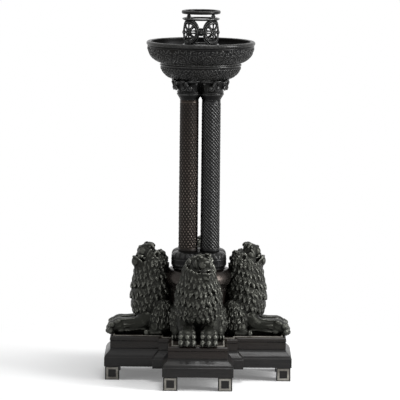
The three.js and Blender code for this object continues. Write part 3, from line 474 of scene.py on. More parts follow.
# In every bronze the deep colour paints shade into the hollows over their patina, and the rubbed colour is
# wear with a painted highlight. The lion's deep colour is lighter than its body: a painted lift of the shade
# in its hollows.
LION = bronze(
    "lion_bronze", deep=(0.024, 0.024, 0.021), body=(0.0135, 0.014, 0.0115),
    rubbed_and_highlight=(0.17, 0.172, 0.152), tint=(0.022, 0.0225, 0.019), rough=0.33, grain=0.00028)
DARK = bronze(
    "dark_bronze", deep=(0.005, 0.005, 0.0053), body=(0.007, 0.007, 0.0076),
    rubbed_and_highlight=(0.135, 0.136, 0.134), tint=(0.0122, 0.012, 0.0112), rough=0.30, grain=0.00016)
BROWN = bronze(
    "brown_bronze", deep=(0.008, 0.006, 0.005), body=(0.0195, 0.0135, 0.0112),
    rubbed_and_highlight=(0.125, 0.106, 0.09), tint=(0.0135, 0.0122, 0.0108), rough=0.33, grain=0.00016)
BOWL = bronze(
    "bowl_bronze", deep=(0.005, 0.005, 0.0053), body=(0.0066, 0.0066, 0.007),
    rubbed_and_highlight=(0.086, 0.086, 0.084), tint=(0.0118, 0.0112, 0.0102), rough=0.34, grain=0.00016)
WARM = bronze(
    "warm_bronze", deep=(0.010, 0.008, 0.007), body=(0.016, 0.0145, 0.0138),
    rubbed_and_highlight=(0.11, 0.10, 0.092), tint=(0.026, 0.018, 0.0148), rough=0.25)
EBONY = ebonised(
    "ebonised_wood", base=(0.0065, 0.0066, 0.007), warm=(0.0105, 0.0093, 0.0088),
    worn_edge=(0.021, 0.0185, 0.017), rough=0.3)
EBONY_BLOCK = ebonised(
    "ebonised_block", base=(0.0062, 0.0056, 0.0048), warm=(0.0145, 0.0092, 0.0074),
    worn_edge=(0.022, 0.017, 0.013), rough=0.27)
PALE = pale_wood("pale_line", light=(0.36, 0.345, 0.31), dirt=(0.12, 0.11, 0.095))
STEEL = plain_steel("steel", bright=(0.40, 0.40, 0.41), dull=(0.26, 0.25, 0.24))


# Turned and cast pieces


def turned(node, profile, columns, material=DARK, body="stand"):
    """A plain turned piece in place of its node."""
    mesh = mark_wear_and_shade(mesh_of(node, revolved(profile, columns)), rounds=3, scale=0.3)
    piece(node + "_turned", mesh, material, body, [node], sharp=40)


def cast_piece(node, parts, voxel, rounds, scale, body="stand"):
    """A dark casting in place of its node."""
    mesh = mark_wear_and_shade(cast(node, parts, voxel), rounds, scale)
    piece(node + "_cast", mesh, DARK, body, [node])


# Plinth and feet

ARM_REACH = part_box("plinth_moulding")[1].x / MM
ARM_HALF = 42.3
CORNER_HALF = 54.7
BAND_HEIGHT = 11.2
OGEE_SET_IN = 7.1
CAP_HEIGHT = 5.3
CAP_SET_IN = 6.6
CAP_ROUNDING = 3.3
LINE_SET_IN = 10.9
LINE_WIDTH = 1.6
LINE_DEPTH = 0.9
LINE_PROUD = 0.8


def cross_outline(set_in):
    """The plinth's stepped cross plan, drawn in by set_in all round."""
    far, half, corner = ARM_REACH - set_in, ARM_HALF - set_in, CORNER_HALF - set_in
    quarter = [(far, -half), (far, half), (corner, half), (corner, corner), (half, corner)]
    points = []
    for c, s in ((1, 0), (0, 1), (-1, 0), (0, -1)):
        points += [(x * c - y * s, x * s + y * c) for x, y in quarter]
    return points


def cross_stack(levels):
    """A solid on the plinth's plan through (height, set in) levels, its ends closed by one face each."""
    count = len(cross_outline(0))
    points = np.vstack([[(x, y, height) for x, y in cross_outline(set_in)] for height, set_in in levels])
    end = (len(levels) - 1) * count
    faces = grid_faces(len(levels), count, False)
    return points, faces + [tuple(reversed(range(count))), tuple(range(end, end + count))]


def line_ring(low, high, slack=0.0):
    """A ring on the course of the light line, made wider by slack on both sides."""
    outside, inside = LINE_SET_IN - slack, LINE_SET_IN + LINE_WIDTH + slack
    outer = cross_stack([(PLINTH_TOP + low, outside), (PLINTH_TOP + high, outside)])
    inner = cross_stack([(PLINTH_TOP - 2, inside), (PLINTH_TOP + 3, inside)])
    return cut_from(mesh_of("ring", outer), mesh_of("hole", inner))


def plinth():
    low, ogee_top = span("plinth_moulding")
    band_top = low + BAND_HEIGHT
    levels = [(low, 0.0), (band_top - 0.5, 0.0), (band_top, 0.4)]
    start = 0.7
    for share in np.linspace(0.0, 1.0, 15):
        set_in = start + (OGEE_SET_IN - start) * (1 - math.cos(math.pi * share)) / 2
        levels.append((band_top + 0.2 + (ogee_top - band_top - 0.2) * share, set_in))
    mesh = mark_wear_and_shade(bevelled(mesh_of("moulding", cross_stack(levels)), width=0.35), rounds=2)
    piece("plinth_moulding_planed", mesh, EBONY, "stand", ["plinth_moulding"], sharp=34)

    cap, sunk = PLINTH_TOP - CAP_HEIGHT, OGEE_SET_IN + 0.35
    levels = [(bottom("plinth_block"), OGEE_SET_IN), (cap - 0.5, OGEE_SET_IN), (cap - 0.4, sunk)]
    levels += [(cap + 0.1, sunk), (cap + 0.3, CAP_SET_IN + 0.15), (cap + 0.7, CAP_SET_IN)]
    rounding = arc((CAP_SET_IN + CAP_ROUNDING, PLINTH_TOP - CAP_ROUNDING), CAP_ROUNDING, 180, 90, 9)
    levels += [(height, set_in) for set_in, height in rounding]
    block = mesh_of("block", cross_stack(levels))
    groove = line_ring(-LINE_DEPTH - 0.05, 2, slack=0.15)
    mesh = mark_wear_and_shade(bevelled(cut_from(block, groove), width=0.22), rounds=2)
    piece("plinth_block_planed", mesh, EBONY_BLOCK, "stand", ["plinth_block"], sharp=34)

    mesh = bevelled(line_ring(-LINE_DEPTH, LINE_PROUD), width=0.15)
    piece("plinth_stringing_laid", mesh, PALE, "stand", ["plinth_stringing"], sharp=34)


def dress_nodes():
    """The frame's own pieces that stay in sight get their finish and a softened edge."""
    plain = {"ebonised_wood": (EBONY, 0.35), "pale_line": (PALE, 0.12), "steel": (STEEL, None)}
    for part in frame["record"]["subparts"]:
        obj = frame["nodes"][part["node"]]
        if part["material_slot"] not in plain or obj.hide_render:
            continue
        material, edge = plain[part["material_slot"]]
        obj.data.materials.clear()
        obj.data.materials.append(material)
        if edge:
            bevel = obj.modifiers.new("edge", "BEVEL")
            bevel.width, bevel.segments = edge * MM, 2
            bevel.limit_method, bevel.angle_limit = "ANGLE", math.radians(50)


# Chased foliage


class Pattern:
    """A height map that repeats sideways, drawn with lines, leaves and bosses."""

    def __init__(self, width, height, fineness=6):
        self.width, self.height = width, height
        columns, rows = round(width * fineness), round(height * fineness)
        across = (np.arange(columns) + 0.5) * width / columns
        self.u, self.v = np.meshgrid(across, np.linspace(0, height, rows), indexing="xy")
        self.map = np.zeros_like(self.u)

    def boss(self, point, radius, height=1.0):
        du = np.abs(self.u - point[0]) % self.width
        away = np.hypot(np.minimum(du, self.width - du), self.v - point[1]) / radius
        self.map = np.maximum(self.map, height * np.sqrt(np.clip(1 - away**2, 0, 1)))

    def line(self, points, half, height=1.0, taper=0.0):
        count = max(12, int(len(points) * 1.5))
        for index, point in enumerate(evenly(points, count)):
            self.boss(point, half * (1 - taper * index / (count - 1)), height)

    def leaf(self, point, length, half, angle, height=0.9):
        """A pointed leaf that starts at the point, with a sunk middle vein."""
        c, s = math.cos(angle), math.sin(angle)
        du = (self.u - point[0] + self.width / 2) % self.width - self.width / 2
        dv = self.v - point[1]
        along, across = du * c + dv * s, -du * s + dv * c
        share = np.clip(along / length, 0, 1)
        width = half * np.sin(math.pi * share**0.7) + 1e-6
        body = np.sqrt(np.clip(1 - (across / width) ** 2, 0, 1)) * (along > 0) * (along < length)
        vein = 0.35 * np.exp(-((across / (half * 0.22)) ** 2))
        self.map = np.maximum(self.map, height * body * (1 - vein))

    def scroll(self, middle, radius, turns, start, hand, half):
        steps = np.linspace(0, 1, int(30 * turns))
        angles = start + hand * steps * turns * TAU
        radii = radius * (1 - 0.82 * steps)
        points = np.stack([middle[0] + radii * np.cos(angles), middle[1] + radii * np.sin(angles)], axis=1)
        self.line(points, half, 1.0, 0.35)

    def rosette(self, middle, radius, petals):
        self.boss(middle, radius * 0.38, 1.15)
        for petal in range(petals):
            out, _ = compass(petal * TAU / petals)
            self.boss(np.array(middle) + radius * 0.66 * out[:2], radius * 0.34, 0.95)

    def read(self, u, v):
        """Height at any (u, v), zero above and below the map."""
        rows, columns = self.map.shape
        x = (u % self.width) / self.width * columns - 0.5
        y = v / self.height * (rows - 1)
        x0 = np.floor(x).astype(int)
        y0 = np.clip(np.floor(y).astype(int), 0, rows - 2)
        fx, fy = x - x0, np.clip(y - y0, 0, 1)
        x0, x1 = x0 % columns, (x0 + 1) % columns
        lower = self.map[y0, x0] * (1 - fx) + self.map[y0, x1] * fx
        upper = self.map[y0 + 1, x0] * (1 - fx) + self.map[y0 + 1, x1] * fx
        return (lower * (1 - fy) + upper * fy) * ((v >= 0) & (v <= self.height))


def foliage(width, height, waves, seed, arches=0.0):
    """A dense running scroll with rosettes, leaves and berries.

    arches is the pitch of a small arcade on top.
    """
    chance = random.Random(seed)
    pattern = Pattern(width, height)
    span = width / waves
    field = height - (3.2 if arches else 0.4)
    middle, swing = field / 2, field * 0.24
    steps = np.linspace(0, width, 40 * waves)
    pattern.line(np.stack([steps, middle + swing * np.sin(steps / span * TAU)], axis=1), 0.8, 0.9)
    for index in range(2 * waves):
        side = -1 if index % 2 else 1
        radius = min(span * 0.22, field * 0.3) * chance.uniform(0.86, 1.1)
        centre = (span * (index + 0.5) / 2 + chance.uniform(-0.8, 0.8), middle - side * swing * 0.35)
        hand = side * chance.choice((-1, 1))
        pattern.scroll(centre, radius, chance.uniform(1.1, 1.5), side * QUARTER, hand, 0.75)
        pattern.rosette(centre, radius * chance.uniform(0.4, 0.52), chance.choice((5, 6)))
        for step in range(6):
            angle = step * TAU / 6 + chance.uniform(-0.4, 0.4)
            spot = (centre[0] + radius * math.cos(angle), centre[1] + radius * math.sin(angle))
            turn = angle + hand * chance.uniform(0.3, 1.0)
            pattern.leaf(spot, radius * chance.uniform(0.55, 0.9), chance.uniform(0.9, 1.4), turn)
    for _ in range(int(width * field / 3.2)):
        spot = (chance.uniform(0, width), chance.uniform(0.8, field - 0.8))
        if pattern.read(np.array([spot[0]]), np.array([spot[1]]))[0] > 0.12:
            continue
        if chance.random() < 0.3:
            pattern.boss(spot, chance.uniform(0.6, 0.95), 0.8)
        else:
            length, half = chance.uniform(2.2, 4.2), chance.uniform(0.7, 1.1)
            pattern.leaf(spot, length, half, chance.uniform(0, TAU), 0.8)
    count = round(width / arches) if arches else 0
    for index in range(count):
        middle_u = (index + 0.5) * width / count
        pattern.line(arc((middle_u, height - 2.9), 1.75, 0, 180, 12, 2.2), 0.62, 0.95)
        pattern.boss((middle_u + width / count / 2, height - 1.2), 0.7, 0.8)
    return pattern


# Bowls

LOWER_FOOT = 35.5
LOWER_REACH = 49.2
LOWER_LIP_SHARE = 0.8
LOWER_MEAN_RADIUS = 44
UPPER_REACH = 65.5
UPPER_LIP_HEIGHT = 5.3
UPPER_MEAN_RADIUS = 58
LOWER_REPEATS = 5
UPPER_REPEATS = 6
LOWER_BOSS = 8.0
UPPER_BOSS = 10.0
CROWN_SOCKET = 6.3


def wall_curve(foot, reach, low, depth, shape, count):
    """A bowl's outside, through shares of its swell and of its depth."""
    return curve_through([(foot - 0.5 + (reach - foot) * a, low + depth * b) for a, b in shape], count)


def chased_bowl(node, profile, columns, relief, **more):
    """A bowl with its relief, in place of its node."""
    mesh = mark_wear_and_shade(mesh_of(node, revolved(profile, columns, relief, **more)), rounds=8, scale=0.42)
    piece(node + "_chased", mesh, BOWL, "stand", [node], sharp=50)


def wrapped(pattern, repeats, curve, low, high, margin, depth):
    """The relief of a pattern wrapped round a bowl; the map's height runs along the wall's curve."""
    run = run_along(curve)

    def relief(theta, height, radius):
        wall = radius > np.interp(height, curve[:, 1], curve[:, 0]) - 0.3
        up = np.interp(height, curve[:, 1], run) - margin
        within = (height > low) & (height < high) & wall
        return depth * pattern.read(theta / TAU * repeats * pattern.width, up) * within

    return relief


def bowl_lower():
    low, high = span("lower_bowl")
    depth = high - low
    shape = [(0.0, 0.04), (0.24, 0.105), (0.46, 0.22), (0.74, 0.41), (0.89, 0.6), (0.95, 0.78)]
    curve = wall_curve(LOWER_FOOT, LOWER_REACH, low, depth, shape, 66)
    lip = low + depth * LOWER_LIP_SHARE
    profile = outline(
        (0, low), (LOWER_FOOT - 0.4, low), (LOWER_FOOT, low + 0.5), curve[1:],
        (LOWER_REACH - 1.1, lip), arc((LOWER_REACH - 1.3, lip + 1.5), 1.3, -75, 85, 10),
        (LOWER_REACH - 1.6, lip + 3.0), (LOWER_REACH - 1.6, high), (LOWER_REACH - 3.2, high),
        (LOWER_REACH - 6, low + 10), (LOWER_REACH - 12, low + 5), (LOWER_BOSS, low + 3.2),
        (LOWER_BOSS, high), (SCREW_BORE, high), (SCREW_BORE, high - 10), (0, high - 10))
    repeats = LOWER_REPEATS
    width = TAU * LOWER_MEAN_RADIUS / repeats
    pattern = foliage(width, run_along(curve)[-1] - 1.0, waves=2, seed=3, arches=4.6)
    relief = wrapped(pattern, repeats, curve, low + 1.0, lip - 0.2, margin=0.6, depth=0.95)
    chased_bowl("lower_bowl", profile, repeats * 124, relief, turn=0.3)


def bowl_upper():
    low, high = span("upper_bowl")
    lip = high - UPPER_LIP_HEIGHT
    shape = [(0.0, 0.03), (0.2, 0.085), (0.36, 0.16), (0.62, 0.33)]
    shape += [(0.77, 0.5), (0.86, 0.66), (0.92, 0.8), (0.96, 0.97)]
    curve = wall_curve(LOWER_REACH, UPPER_REACH, low, lip - low, shape, 78)
    inner = UPPER_REACH - 5.5
    hollow = [(inner, high - 1.2), (inner, low + 20), (inner - 0.9, low + 16.4)]
    hollow += [(inner - 3.6, low + 11.8), (inner - 7.6, low + 9.1), (inner - 12.5, low + 8)]
    profile = outline(
        (LOWER_REACH - 1.2, low), curve, (UPPER_REACH - 1.5, lip - 0.1),
        arc((UPPER_REACH - 2.3, lip + 2.75), 2.3, -75, 90, 16, 2.55),
        arc((UPPER_REACH - 3.6, high - 0.75), 0.7, 80, 100, 3),
        arc((inner + 0.6, high - 0.75), 0.6, 90, 180, 5), curve_through(hollow, 24),
        (UPPER_BOSS + 1.2, low + 8), (UPPER_BOSS + 0.5, low + 8.5), (UPPER_BOSS + 0.1, low + 9.3),
        (UPPER_BOSS, low + 14.2), (UPPER_BOSS - 0.4, low + 14.6), (CROWN_SOCKET, low + 14.6),
        (CROWN_SOCKET, low + 3.4), (SCREW_BORE, low + 3.4), (SCREW_BORE, low))
    repeats = UPPER_REPEATS
    width = TAU * UPPER_MEAN_RADIUS / repeats
    pattern = foliage(width, run_along(curve)[-1] - 1.2, waves=2, seed=11)
    relief = wrapped(pattern, repeats, curve, low + 0.6, lip - 0.6, margin=0.5, depth=1.0)
    chased_bowl("upper_bowl", profile, repeats * 116, relief, closes=True)


# Columns and pedestal

SHAFT_START = 2.6
SHAFT_FOOT_RADIUS = 11.32
SHAFT_HEAD_RADIUS = 11.17
SHAFT_BORE = 4.2
COLLAR_RADIUS = 12.0
NET_HEIGHT = 0.84
NET_FLOOR = -0.46
NETS = {
    "brown_bronze": {"starts": 18, "pitch": 6.15, "slant": 1.0, "rubbed_and_highlight": 0.3},
    "dark_bronze": {"starts": 17, "pitch": 4.33, "slant": 0.5, "rubbed_and_highlight": 0.0},
}


def net_relief(low, high, starts, pitch, slant, rubbed_and_highlight):
    """Crossing diagonal bands that leave raised lozenges.

    slant weakens the bands of one hand, and the rubbed share flattens the upper half by that much, which
    also dims the painted highlight there.
    """

    def relief(theta, height, radius):
        first = np.abs(np.sin(theta * starts / 2 + math.pi * height / pitch))
        second = np.abs(np.sin(theta * starts / 2 - math.pi * height / pitch))
        lozenge = np.minimum(first ** (2.4 - slant), (1 - slant) + slant * second)
        lozenge *= 1 - rubbed_and_highlight * np.clip((height - low) / (high - low) * 1.6 - 0.5, 0, 1)
        # The net fades out short of a plain collar at each end.
        inside = np.clip(np.minimum(height - (low + 3.4), (high - 3.2) - height) / 0.5, 0, 1)
        ring = np.zeros_like(height)
        for level in (low + 3.0, high - 2.6):
            ring = np.maximum(ring, 0.12 * np.sqrt(np.clip(1 - ((height - level) / 0.6) ** 2, 0, 1)))
        return ((NET_HEIGHT * lozenge + NET_FLOOR) * inside + ring * (1 - inside)) * (radius > 9)

    return relief


def column(node, place, material, slot_name):
    low, high = span(node)
    start = low + SHAFT_START
    taper = [(start, SHAFT_FOOT_RADIUS), (high, SHAFT_HEAD_RADIUS)]
    heights = np.linspace(start, high, 400)
    profile = outline(
        (SHAFT_BORE, low), (COLLAR_RADIUS - 0.2, low), (COLLAR_RADIUS, low + 0.4),
        (COLLAR_RADIUS, low + 1.5), (COLLAR_RADIUS - 0.3, low + 2.2),
        np.stack([points_on(taper, heights), heights], axis=1), (SHAFT_BORE, high))
    net = NETS[slot_name]
    mesh = mesh_of(node, revolved(profile, net["starts"] * 9, net_relief(low, high, **net), place, True))
    # The points of the lozenges get the rubbed colour with its painted highlight, the grooves the dark
    # colour as painted shade.
    x, y, z = vertex_rows(mesh, "co").T / MM
    out = np.hypot(x - place[0], y - place[1]) - points_on(taper, z)
    rise = np.clip((out - NET_FLOOR) / NET_HEIGHT, 0, 1) * np.clip((z - start) / 0.5, 0, 1)
    store_rise(mesh, 0.12 + 0.86 * rise)
    piece(node + "_chased", mesh, material, "stand", [node], sharp=60)


def columns():
    """Brown and dark shafts stand corner to corner."""
    for name, place in PLACES.items():
        if name in ("front_left", "back_right"):
            column("column_" + name, place, BROWN, "brown_bronze")
        else:
            column("column_" + name, place, DARK, "dark_bronze")


def pedestal():
    low, high = span("pedestal_drum")
    drum = 37.5
    profile = outline(
        (0, low), (38.5, low), arc((37.9, low + 1.5), 1.0, -60, 80, 7), (37.7, low + 3.2),
        (drum, low + 4.4), (drum, low + 20), (drum, high - 20), (drum, high - 4.6),
        arc((37.8, high - 3.5), 0.95, -80, 80, 9), (38.0, high - 2.4), (38.3, high - 2.2),
        (38.3, high - 0.6), (38.1, high), (0, high))
    turned("pedestal_drum", profile, 144, WARM)

    low, high = span("pedestal_shoulder")
    swell, neck, crown_middle = 43.0, 38.9, 32.6
    widest = low + 11
    profile = outline(
        (0, low), (neck - 0.6, low), arc((neck - 0.9, low + 0.8), 0.75, -70, 80, 8), (neck - 0.7, low + 1.7),
        (neck - 0.7, low + 2.6), arc((neck - 0.6, low + 3.4), 0.7, -75, 85, 8),
        arc((neck, widest), swell - neck, -88, 0, 12, widest - low - 4.2),
        arc((crown_middle, widest), swell - crown_middle, 4, 88, 24, high - 0.9 - widest),
        arc((crown_middle - 0.4, high - 0.5), 0.5, -20, 80, 4), (0, high))
    turned("pedestal_shoulder", profile, 144, WARM)


def column_base():
    """Four round bases cast in one, each with a leafy edge under its column."""
    low, high = span("column_base")

    def leaves(theta, height, radius):
        share = np.clip((height - (high - 8.2)) / 7.6, 0, 1)
        ring = np.abs(np.sin(theta * 9)) ** 0.6 - 0.45
        low_share = np.clip((height - (low + 3.5)) / 3.0, 0, 1)
        beads = np.abs(np.sin(theta * 17)) ** 0.7 - 0.5
        rise = 0.75 * ring * np.sin(math.pi * share) + 0.3 * beads * np.sin(math.pi * low_share)
        return rise * (radius > 12.5)

    coarse = outline(
        (0, low), (17.8, low), (18.1, low + 0.4), (18.4, low + 1.8), (19.2, low + 3.2), (19.9, low + 4.4),
        (20.1, low + 5.6), (20.0, high - 10.4), (20.3, high - 9.9), (20.3, high - 9.3),
        (20.0, high - 8.9), arc((13.0, high - 8.9), 7.0, 2, 84, 18, 8.5),
        (13.2, high - 0.2), (12.6, high), (0, high))
    fine = [evenly(coarse[i : i + 2], 4)[:-1] for i in range(len(coarse) - 1)]
    profile = outline(*fine, coarse[-1])
    parts = [revolved(profile, 108, leaves, place) for place in PLACES.values()]
    cast_piece("column_base", parts, voxel=0.55, rounds=8, scale=0.45)


# Capital


def volute(middle, heading, size, hand):
    """A scroll that faces outwards, with a stalk that runs up from it under the bowl."""
    out, across = compass(heading)
    middle = np.array(middle)
    path, stalk = [], []
    for share in np.linspace(0, 1, 40):
        angle = QUARTER + hand * (0.35 + share * TAU * 1.6)
        radius = size * (1 - 0.8 * share)
        path.append(middle + radius * (across * math.cos(angle) + UP * math.sin(angle)) + out * 1.1 * share)
    for share in np.linspace(0, 1, 8):
        aside, above = hand * (-2.6 - 2.0 * share), size - 0.8 + 5.2 * share
        stalk.append(middle + across * aside + UP * above + out * (0.6 + 1.4 * share))
    scroll = tube(path, np.linspace(1.25, 0.75, 40), 8, up=out)
    return [scroll, tube(stalk, np.linspace(1.3, 1.7, 8), 8, up=out)]


def acanthus(place, heading, low, height, start, end, width):
    """One capital leaf: rises, bends out and curls over, with a ribbed face."""
    out, across = compass(heading)
    shape = [(start, 0), (start + 0.8, height * 0.45), (start + (end - start) * 0.55, height * 0.8)]
    shape += [(end, height * 0.93), (end + 0.6, height * 0.78), (end - 0.4, height * 0.66)]
    section = ((-1, 0.0), (-0.55, 0.9), (0, 0.45), (0.55, 0.9), (1, 0.0), (0.5, -0.9), (-0.5, -0.9))
    rings = []
    for index, (radius, rise) in enumerate(curve_through(shape, 18)):
        share = index / 17
        half = width * (0.62 + 0.5 * math.sin(math.pi * share**0.8)) * (1 - 0.55 * share**3)
        base = np.array([*place, low]) + out * radius + UP * rise
        rings.append([base + across * half * side + out * thick for side, thick in section])
    return lofted(rings)


def capital():
    low, high = span("capital_block")

    def share(part):
        return low + (high - low) * part

    neck = [(11.4, low + 0.3), (11.8, share(0.06)), (13.4, share(0.17)), (14.2, share(0.23))]
    bell = [(13.8, share(0.41)), (14.2, share(0.56)), (15.9, share(0.74)), (18.4, share(0.87))]
    profile = outline(
        (0, low), (11.4, low), curve_through(neck, 8), arc((14.2, share(0.29)), 1.0, -85, 85, 9),
        (14.1, share(0.34)), arc((14.0, share(0.375)), 0.75, -80, 80, 7), curve_through(bell, 12),
        (19.3, share(0.89)), (20.0, share(0.92)), (20.2, share(0.985)), (19.9, high), (0, high))
    parts = []
    for place in PLACES.values():
        parts.append(revolved(profile, 80, centre=place))
        diagonal = math.atan2(place[1], place[0])
        parts.append(acanthus(place, diagonal, share(0.4), (high - low) * 0.62, 13.8, 22.6, 5.2))
        for turn in (-72, 72):
            heading = diagonal + math.radians(turn)
            parts.append(acanthus(place, heading, share(0.4), (high - low) * 0.56, 13.6, 18.2, 3.4))
        for turn, hand, reach in ((-46, -1, 18.3), (-21, 1, 17.0), (21, -1, 17.0), (46, 1, 18.3)):
            heading = diagonal + math.radians(turn)
            out, _ = compass(heading)
            spot = np.array([*place, share(0.63)]) + out * reach
            parts += volute(spot, heading, 3.3, hand)
            parts.append(egg(spot, (2.3, 2.3, 2.6), 12, 8))
    cast_piece("capital_block", parts, voxel=0.45, rounds=9, scale=0.5)


# Crown

FOOT_BAND = 2.4
WHEEL_REACH = 15.4
WHEEL_MIDDLE = bottom("crown_gallery") + FOOT_BAND / 2 + WHEEL_REACH
RIM_REACH = 23.45
RIM_HEIGHT = 4.2
POST_PLACE = 20.8


def bent(part, azimuth):
    """Wraps a flat drawing (x along the wall, y up, z outwards) round the crown."""
    points, faces = part
    angle = azimuth + points[:, 0] / CROWN_RADIUS
    radius = CROWN_BORE + 0.3 + points[:, 2]
    wrapped_round = [radius * np.cos(angle), radius * np.sin(angle), WHEEL_MIDDLE + points[:, 1]]
    return np.stack(wrapped_round, axis=1), faces


def flat_ring(radius, half, depth, thick):
    rings = []
    turn = np.arange(8) * TAU / 8
    for angle in np.linspace(0, TAU, 64, endpoint=False):
        out, _ = compass(angle)
        section = half * np.outer(np.cos(turn), out) + thick * np.outer(np.sin(turn), UP)
        rings.append(out * radius + UP * depth + section)
    return np.vstack(rings), grid_faces(64, 8, True)


def crown_wheel(azimuth):
    """A wheel of eight spokes that widen to its rim, with a flower on its hub."""
    parts = [
        flat_ring(radius=13.0, half=2.35, depth=0.6, thick=0.6),
        flat_ring(radius=12.75, half=0.85, depth=1.3, thick=1.05),
        flat_ring(radius=11.1, half=0.5, depth=1.1, thick=0.85),
        flat_ring(radius=14.95, half=0.42, depth=1.0, thick=0.8),
    ]
    for spoke in range(8):
        out, _ = compass(spoke * TAU / 8)
        web = [out * r + UP * 0.85 for r in (2.0, 4.2, 6.5, 8.4, 9.6, 10.8, 11.6)]
        parts.append(tube(web, [1.0, 1.0, 1.05, 1.15, 1.4, 2.0, 2.5], 10, 0.7))
        parts.append(tube([out * r + UP * 1.55 for r in np.linspace(3.0, 11.6, 8)], 0.48, 8, 1.2))
    parts.append(egg((0, 0, 1.0), (4.2, 4.2, 1.3), 22, 8))
    for petal in range(8):
        out, _ = compass((petal + 0.5) * TAU / 8)
        parts.append(egg(2.9 * out + UP * 1.9, (1.05, 1.05, 0.75), 10, 6))
    parts.append(egg((0, 0, 2.2), (1.4, 1.4, 0.9), 14, 8))
    return [bent(part, azimuth) for part in parts]


def crown_knot(azimuth):
    """The lump that ties two wheels: an oval boss with two crossing straps."""
    parts = [egg((0, 0, 1.0), (3.9, 3.5, 1.3), 24, 10), egg((0, 0, 1.9), (1.5, 1.7, 0.9), 14, 8)]
    for side in (-1, 1):
        bow = np.linspace(-1.45, 1.45, 14)
        path = [(side * (3.3 - 0.9 * math.cos(t)), 3.5 * math.sin(t), 1.5) for t in bow]
        parts.append(tube(path, 0.55, 8))
    return [bent(part, azimuth) for part in parts]


def ring_band(*runs):
    return revolved(outline(*runs), 144, closes=True)


def crown_gallery():
    """Four wheels and four knots between a foot band and a collar."""
    low, high = span("crown_gallery")
    parts = []
    for turn in range(4):
        parts += crown_wheel(QUARTER * (turn + 0.5)) + crown_knot(QUARTER * turn)
    inner, collar = CROWN_BORE + 0.05, high - 2.4
    foot_top = low + FOOT_BAND
    bead = arc((21.3, low + FOOT_BAND / 2), 0.8, -70, 70, 6)
    parts.append(ring_band((inner, low), (21.6, low), bead, (21.4, foot_top), (inner, foot_top)))
    parts.append(ring_band(
        (inner, collar), (21.2, collar), (21.5, collar + 0.5), (22.1, collar + 0.7),
        arc((21.85, high - 0.85), 0.75, -70, 85, 8), (21.4, high), (inner, high)))
    cast_piece("crown_gallery", parts, voxel=0.37, rounds=8, scale=0.3, body="crown")


def crown_rim():
    """A top rim of squarish section on four flat posts."""
    low, high = span("crown_rim")
    ring_low = high - RIM_HEIGHT
    middle, half = (CROWN_BORE + RIM_REACH + 0.05) / 2, RIM_HEIGHT / 2
    angles = np.linspace(0.03, TAU + 0.03, 24, endpoint=False)
    c, s = np.cos(angles), np.sin(angles)
    x = middle + (RIM_REACH - middle) * c * np.abs(c) ** -0.3
    parts = [ring_band(np.stack([x, ring_low + half + (half - 0.05) * s * np.abs(s) ** -0.3], axis=1))]
    post = [(low, 3.8), (low + 0.7, 3.6), (low + 1.7, 2.6), (low + 2.7, 2.15)]
    post += [(low + 4.2, 2.15), (ring_low + 0.8, 2.5)]
    for turn in range(4):
        out, _ = compass(QUARTER * (turn + 0.5))
        path = [out * POST_PLACE + UP * height for height, _ in post]
        parts.append(tube(path, [radius for _, radius in post], 16, 0.48, up=out))
    cast_piece("crown_rim", parts, voxel=0.3, rounds=8, scale=0.3, body="crown")


def crown_pan():
    low, high = span("crown_pan")
    spigot, plate, seat = 6.0, 22.0, 19.2
    profile = outline(
        (0, low), (spigot - 0.4, low), (spigot, low + 0.5), (spigot, low + 8.5), (9, low + 8.5),
        (9.4, low + 9.3), (11, low + 10.5), (plate - 0.4, low + 10.5), (plate, low + 10.9),
        (plate, low + 12.8), (plate - 0.3, low + 13.1), (seat, low + 13.1), (seat, high), (0, high))
    turned("crown_pan", profile, 96, body="crown")


# Lions, drawn facing +X

GROUND = PLINTH_TOP + 0.3
ARM_EDGE = 106.5
TOE_LOW = 51.6
MANE_MIDDLE = 55.5
MANE_LEVELS = (72.3, 80.3, 93.3, 106.3, 115.3, 124.3, 132.3, 138, 145, 151)
MANE_DEPTHS = (19.6, 22.6, 25.2, 25.0, 22.9, 21.0, 20.5, 20.6, 16.5, 11)
MANE_HALVES = (20.0, 24.2, 26.2, 26.2, 24.3, 20.5, 17.6, 17.0, 15.5, 11)
TIER_TIPS = (74.4, 82.5, 93.4, 105.7, 115.5, 123.7)
MANE_STEP = TAU / 26
MANE_END = math.radians(134)
MANE_LOCK_LENGTH = 13.5
RUFF_LOCK_LENGTH = 9.0
FACE_STEP = math.radians(14.5)
LOCK_SECTION = ((1, 0), (0.6, 0.7), (0, 0.9), (-0.6, 0.7), (-1, 0), (-0.5, -0.8), (0.5, -0.8))
LEG_PLACE = 12.8
HAUNCH = (42.5, 21.5, 73.5)
# The holes of the ears by side: the heads are turned, so the two sides are seen at other angles.
EARS = {1: (54.4, 149.0), -1: (51.0, 146.6)}


def mane_point(phi, level, out=0.0):
    """A point of the mane: phi is round from the front, level the height it has at the front."""
    height = level + (21 - 0.1 * (level - 72)) * (1 - math.cos(phi)) / 2
    depth, half = (np.interp(height, MANE_LEVELS, row) + out for row in (MANE_DEPTHS, MANE_HALVES))
    return np.array([MANE_MIDDLE + depth * math.cos(phi), half * math.sin(phi), height])


